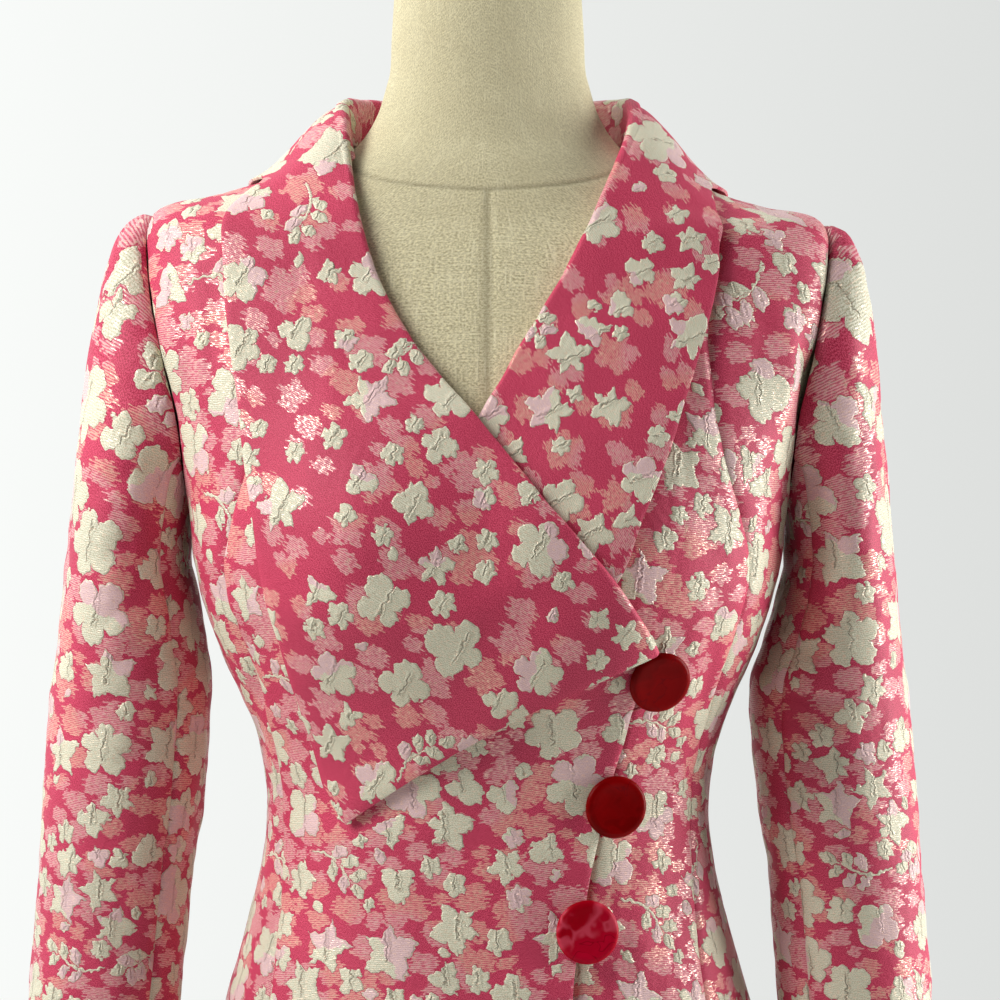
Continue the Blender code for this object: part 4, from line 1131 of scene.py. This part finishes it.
def makeButton(index, x, z, lean, back, material):
    shank, shankEnd = button["shank"], button["shankEnd"]
    profile = [(r * button["radius"], back + h * button["thickness"]) for r, h in button["profile"]]
    profile += [(1.6 * shank, back), (shank, back - 0.0008), (shank, shankEnd), (0.0, shankEnd)]
    selectNone()
    bpy.ops.mesh.primitive_circle_add(vertices=len(profile), radius=1, fill_type="NOTHING")
    piece = bpy.context.object
    piece.name = piece.data.name = f"button_{index}_turned"
    mesh = piece.data
    for vertex, (r, h) in zip(mesh.vertices, profile):
        vertex.co = (r, 0, h)
    closing = [edge.index for edge in mesh.edges if set(edge.vertices) == {0, len(profile) - 1}]
    bpy.ops.object.mode_set(mode="EDIT")
    bpy.ops.mesh.select_mode(type="EDGE")
    bpy.ops.mesh.select_all(action="DESELECT")
    bpy.ops.object.mode_set(mode="OBJECT")
    for edge in closing:
        mesh.edges[edge].select = True
    bpy.ops.object.mode_set(mode="EDIT")
    bpy.ops.mesh.delete(type="EDGE")
    bpy.ops.mesh.select_all(action="SELECT")
    bpy.ops.mesh.spin(steps=button["sides"], angle=2 * math.pi, center=(0, 0, 0), axis=(0, 0, 1))
    bpy.ops.mesh.select_all(action="SELECT")
    bpy.ops.mesh.remove_doubles(threshold=0.000005)
    bpy.ops.mesh.normals_make_consistent(inside=False)
    bpy.ops.object.mode_set(mode="OBJECT")
    mesh.shade_smooth()
    facing = unit(skinNormal(*onFront(x, z, back)) * lean + np.array([0.0, lean - 1.0, 0.0]))
    turn = Vector((0, 0, 1)).rotation_difference(Vector(facing))
    seat = body(*onFront(x - back * facing[0], z - back * facing[2]))
    mesh.transform(Matrix.Translation(seat) @ turn.to_matrix().to_4x4())
    finishPiece(piece, f"button_{index}", material)


darkRed, marbledRed = (makeRedPlastic(name) for name in redTones)
for index, (x, z, lean, back) in enumerate(button["places"], start=1):
    makeButton(index, x, z, lean, back, marbledRed if index == 3 else darkRed)

loop = {"radius": 0.0009, "above": 0.007, "below": 0.0165, "reach": 0.0062, "start": 0.0016,
        "lift": 0.0016, "steps": 48}
redCord, cordTree, cordShader = newMaterial("redCord")
cordSpot = spotOn(cordTree)
cordX, _, cordZ = split(cordSpot)
ply = sineOf(times(plus(cordX, cordZ), 7000.0))
cordFuzz = noise(cordSpot, 2500.0)
paint(cordShader, {"Base Color": blend(band(ply, -1.0, 1.0), linear(120, 4, 24), linear(186, 20, 52)),
                   "Roughness": between(cordFuzz, 0.3, 0.7, 0.5, 0.75),
                   "Normal": bump(plus(ply, cordFuzz), 0.00015)})
topEdge = sorted((z, x) for x, z in np.vstack([rightFrontEdge, rightLapel[:1, :2]]))
for index, (x, z, lean, back) in enumerate(button["places"], start=1):
    high, low = z + loop["above"], z - loop["below"]
    route = np.array([(along(topEdge, high) + loop["start"], high),
                      (x + 0.6 * loop["reach"], z + 0.8 * loop["above"]), (x + loop["reach"], z),
                      (x + 0.75 * loop["reach"], z - 0.6 * loop["below"]),
                      (along(topEdge, low) + loop["start"], low)])
    path = smoothRow(route, np.linspace(0, len(route) - 1, loop["steps"] + 1))
    curve = bpy.data.curves.new(f"button_loop_{index}_cord", "CURVE")
    curve.dimensions = "3D"
    curve.bevel_depth = loop["radius"]
    curve.bevel_resolution = 4
    curve.use_fill_caps = True
    line = curve.splines.new("POLY")
    line.points.add(loop["steps"])
    route3d = body(*onFront(path[:, 0], path[:, 1], loop["lift"]), np.full(len(path), loop["lift"]))
    for point, place in zip(line.points, route3d):
        point.co = (*place, 1.0)
    selectNone()
    piece = bpy.data.objects.new(f"button_loop_{index}_cord", curve)
    bpy.context.scene.collection.objects.link(piece)
    bpy.context.view_layer.objects.active = piece
    piece.select_set(True)
    bpy.ops.object.convert(target="MESH")
    piece = bpy.context.object
    piece.data.shade_smooth()
    finishPiece(piece, f"button_loop_{index}", redCord)
print("buttons and loops ready")

# ---- dress form

form = {
    "gaps": [(0, 0.012), (2, 0.008), (4, 0.0035), (5, 0.003), (8, 0.0024), (12, 0.0026),
             (15, 0.0028), (16, 0.003), (19, 0.0026), (21, 0.0016)],
    "bottom": 0.7,
    "neck": [(0.89, 0.0555, 0.05, 0.048), (0.915, 0.054, 0.05, 0.047),
             (0.934, 0.053, 0.049, 0.047)],
    "seamDepth": 0.0007, "seamWidth": 0.0011,
    # the neck's seam: angle, ring number
    "neckSeam": [(0, 17.55), (30, 17.8), (60, 18.5), (90, 19.3), (130, 19.8), (180, 20.0)],
    "sides": 200, "rows": 190,
}


def formPoint(angle, level):  # beyond the top ring the neck's own rows follow
    top = np.full(np.shape(angle), len(jacketRings) - 1.0)

    def underCloth(level):
        return body(angle, level, -jacket["cloth"] - along(form["gaps"], level))

    s, c = np.sin(np.radians(angle)), np.cos(np.radians(angle))
    ovals = [np.stack([half * s, -np.where(c > 0, front, back) * c, z + 0 * s], axis=-1)
             for z, half, front, back in form["neck"]]
    stack = np.stack([underCloth(top - 1), underCloth(top)] + ovals + [2 * ovals[-1] - ovals[-2]])
    place = np.clip(level - top, 0, len(ovals))
    i = np.minimum(place.astype(int), len(ovals) - 1)
    near = (np.take_along_axis(stack, (i + k)[None, ..., None].repeat(3, -1), 0)[0] for k in range(4))
    return np.where((level > top)[..., None], smoothCurve(*near, (place - i)[..., None]),
                    underCloth(np.minimum(level, top)))


def makeForm():
    columns, rows = form["sides"], form["rows"]
    piece, at, corners = newGrid("form_linen", columns, rows)
    mesh = piece.data
    # columns crowd at the centre seams and rows above the chest
    angle = 360 * (np.arange(columns + 1) / columns) - 180
    angle = angle - 14.0 * np.sin(np.radians(angle) * 2) / 2 - 6.0 * np.sin(np.radians(angle) * 4) / 4
    top = len(jacketRings) - 1.0 + len(form["neck"])
    level = form["bottom"] + (top - form["bottom"]) * (np.arange(rows + 1) / rows) ** 0.62
    angles, levels = np.meshgrid(angle, level)
    points = formPoint(angles, levels)
    points[0, :, 2] = skin(np.array(0.0), np.array(form["bottom"]))[2]
    v = gridSteps(points)[1]
    seamLevel = along(form["neckSeam"], np.abs(angles))
    offNeck = (levels - seamLevel) * (np.gradient(v, axis=0) / np.gradient(levels, axis=0))
    groove = np.clip(np.exp(-(offNeck / form["seamWidth"]) ** 2) + np.where(
        levels < seamLevel, np.exp(-(points[..., 0] / form["seamWidth"]) ** 2), 0.0), 0, 1)
    points = points - gridNormals(points) * (form["seamDepth"] * groove)[..., None]
    points[:, -1] = points[:, 0]
    mesh.vertices.foreach_set("co", points[at].ravel())
    onCloth = np.stack([np.radians(angles) * 0.13 + 1.0, v], axis=-1)
    mesh.uv_layers["cloth"].data.foreach_set("uv", onCloth[at][corners].ravel())
    mesh.attributes.new("seamLine", "FLOAT", "POINT").data.foreach_set("value", groove[at])
    bpy.ops.object.mode_set(mode="EDIT")
    bpy.ops.mesh.select_all(action="SELECT")
    bpy.ops.mesh.remove_doubles(threshold=0.00001)
    bpy.ops.mesh.select_all(action="DESELECT")
    bpy.ops.mesh.select_mode(type="EDGE")
    bpy.ops.mesh.select_non_manifold()
    bpy.ops.mesh.fill_holes(sides=0)
    bpy.ops.mesh.select_all(action="SELECT")
    bpy.ops.mesh.normals_make_consistent(inside=False)
    bpy.ops.object.mode_set(mode="OBJECT")
    selectNone()
    bpy.context.view_layer.objects.active = piece
    piece.select_set(True)
    bpy.ops.object.shade_smooth_by_angle(angle=math.radians(50))
    return piece


def makeWeave():
    # a plain weave: threads over and under, some of them thick
    group, given, made = newGroup("plainWeave", {"Place": (0.0, 0.0, 0.0), "Pitch": 0.5},
                                  {"Height": "Float", "Slub": "Float", "Cross": "Float"})
    x, y, _ = split(given["Place"])
    turns = over(2 * math.pi, given["Pitch"])
    cross = times(sineOf(times(x, turns)), sineOf(times(y, turns)))
    slub = most(*(band(noise(thread, 1.1, 1.0), 0.52, 0.75)
                  for thread in (join(x, times(y, 0.05)), join(times(x, 0.05), y))))
    paint(made, {"Height": plus(times(cross, 0.5), times(slub, 0.5)), "Slub": slub, "Cross": cross})
    return group


linen, linenTree, linenShader = newMaterial("linen")
linenPlace = clothPlace(linenTree)
weave = useGroup(makeWeave(), Place=linenPlace, Pitch=0.9)
threadTone = noise(linenPlace, 0.9, 2.0, 0.7)
linenColour = blend(band(timesPlus(weave["Cross"], 0.1, threadTone), 0.34, 0.66),
                    linear(170, 160, 124), linear(238, 230, 192))
for share, tone in ((times(weave["Slub"], 0.55), linear(244, 238, 204)),
                    (times(band(noise(linenPlace, 0.02), 0.4, 0.7), 0.15), linear(200, 188, 148)),
                    (times(attribute(linenTree, "seamLine", "Fac"), 0.45), linear(112, 102, 76))):
    linenColour = blend(share, linenColour, tone)
paint(linenShader, {"Base Color": linenColour, "Roughness": between(threadTone, 0.3, 0.7, 0.78, 0.92),
                    "Normal": bump(weave["Height"], 0.00012), "Sheen Weight": 0.1})
finishPiece(makeForm(), "form_body", linen)
print("dress form ready")

# ---- wood and steel of the stand

paleWood, woodTree, woodShader = newMaterial("paleWood")
woodX, woodY, woodZ = split(spotOn(woodTree))
stretched = join(times(woodX, 0.12), woodY, woodZ)
rings = newNode("TexWave", (stretched, 22.0, 7.0, 3.0), ("Vector", "Scale", "Distortion", "Detail"),
                wave_type="BANDS", bands_direction="Y").outputs["Fac"]
woodFibre = noise(stretched, 420.0, 3.0, 0.6)
woodColour = blend(band(rings, 0.15, 0.95), linear(204, 168, 122), linear(188, 146, 100))
woodColour = blend(band(woodFibre, 0.52, 0.75), woodColour, linear(140, 98, 60))
paint(woodShader, {"Base Color": woodColour, "Roughness": between(woodFibre, 0.3, 0.7, 0.32, 0.48),
                   "Normal": bump(woodFibre, 0.0002), "Coat Weight": 0.25, "Coat Roughness": 0.25})

brushedSteel, steelTree, steelShader = newMaterial("brushedSteel")
steelX, steelY, steelZ = split(spotOn(steelTree))
brushed = noise(join(steelX, steelY, times(steelZ, 40.0)), 60.0, 3.0)
paint(steelShader, {"Base Color": blend(brushed, linear(168, 168, 170), linear(206, 206, 208)),
                    "Roughness": between(brushed, 0.3, 0.7, 0.24, 0.4),
                    "Normal": bump(brushed, 0.00003), "Metallic": 1.0})

for node, material in (("neck_cap", paleWood), ("stand_base", paleWood), ("pole", brushedSteel)):
    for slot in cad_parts[node].material_slots:
        slot.material = material
print("stand ready")

# ---- floor, background and light

surround = {"floorRadius": 1.45, "sky": linear(238, 240, 238), "behind": 0.98, "before": 0.07,
            "leftward": 0.62, "below": 0.45}

selectNone()
bpy.ops.mesh.primitive_circle_add(vertices=96, radius=surround["floorRadius"], fill_type="NGON",
                                  location=(0, 0, 0))
floor = bpy.context.object
floor.name = "floor"
floorPaint, floorTree, floorShader = newMaterial("floorPaint")
paint(floorShader, {"Base Color": blend(noise(spotOn(floorTree), 3.0), linear(198, 198, 195),
                                        linear(208, 208, 205)), "Roughness": 0.7})
floor.data.materials.append(floorPaint)

world = bpy.data.worlds.new("room")
world.use_nodes = True
bpy.context.scene.world = world
sky = world.node_tree
skyX, skyY, skyZ = split(spotOn(sky, "Generated"))
glow = times(between(band(skyY, -0.45, 0.6), 0.0, 1.0, surround["before"], surround["behind"]),
             timesPlus(skyX, -surround["leftward"], 1.0),
             between(skyZ, -0.6, -0.25, surround["below"], 1.0))
paint(sky.nodes["Background"].inputs, {"Color": surround["sky"], "Strength": glow})

# soft boxes: place, the point they face, width, height, power, colour
softBoxes = {
    "windowLeft": ((-1.22, -0.7, 1.46), (-0.04, 0.0, 0.62), 0.9, 0.9, 31.0, (1.0, 0.985, 0.96)),
    "windowRight": ((1.95, 0.08, 0.68), (0.0, 0.0, 0.6), 0.9, 1.2, 48.0, (1.0, 0.99, 0.97)),
    "above": ((-0.2, 0.5, 2.3), (0.0, 0.0, 0.7), 1.2, 1.2, 6.0, (1.0, 1.0, 1.0)),
}
for name, (place, target, width, height, power, colour) in softBoxes.items():
    light = bpy.data.lights.new(name, "AREA")
    light.shape = "RECTANGLE"
    light.size, light.size_y = width, height
    light.energy = power
    light.color = colour
    lamp = bpy.data.objects.new(name, light)
    lamp.location = place
    lamp.visible_camera = False
    lamp.rotation_euler = (Vector(target) - Vector(place)).to_track_quat("-Z", "Y").to_euler()
    bpy.context.scene.collection.objects.link(lamp)
bpy.context.scene.view_settings.view_transform = "Standard"
print("light ready")
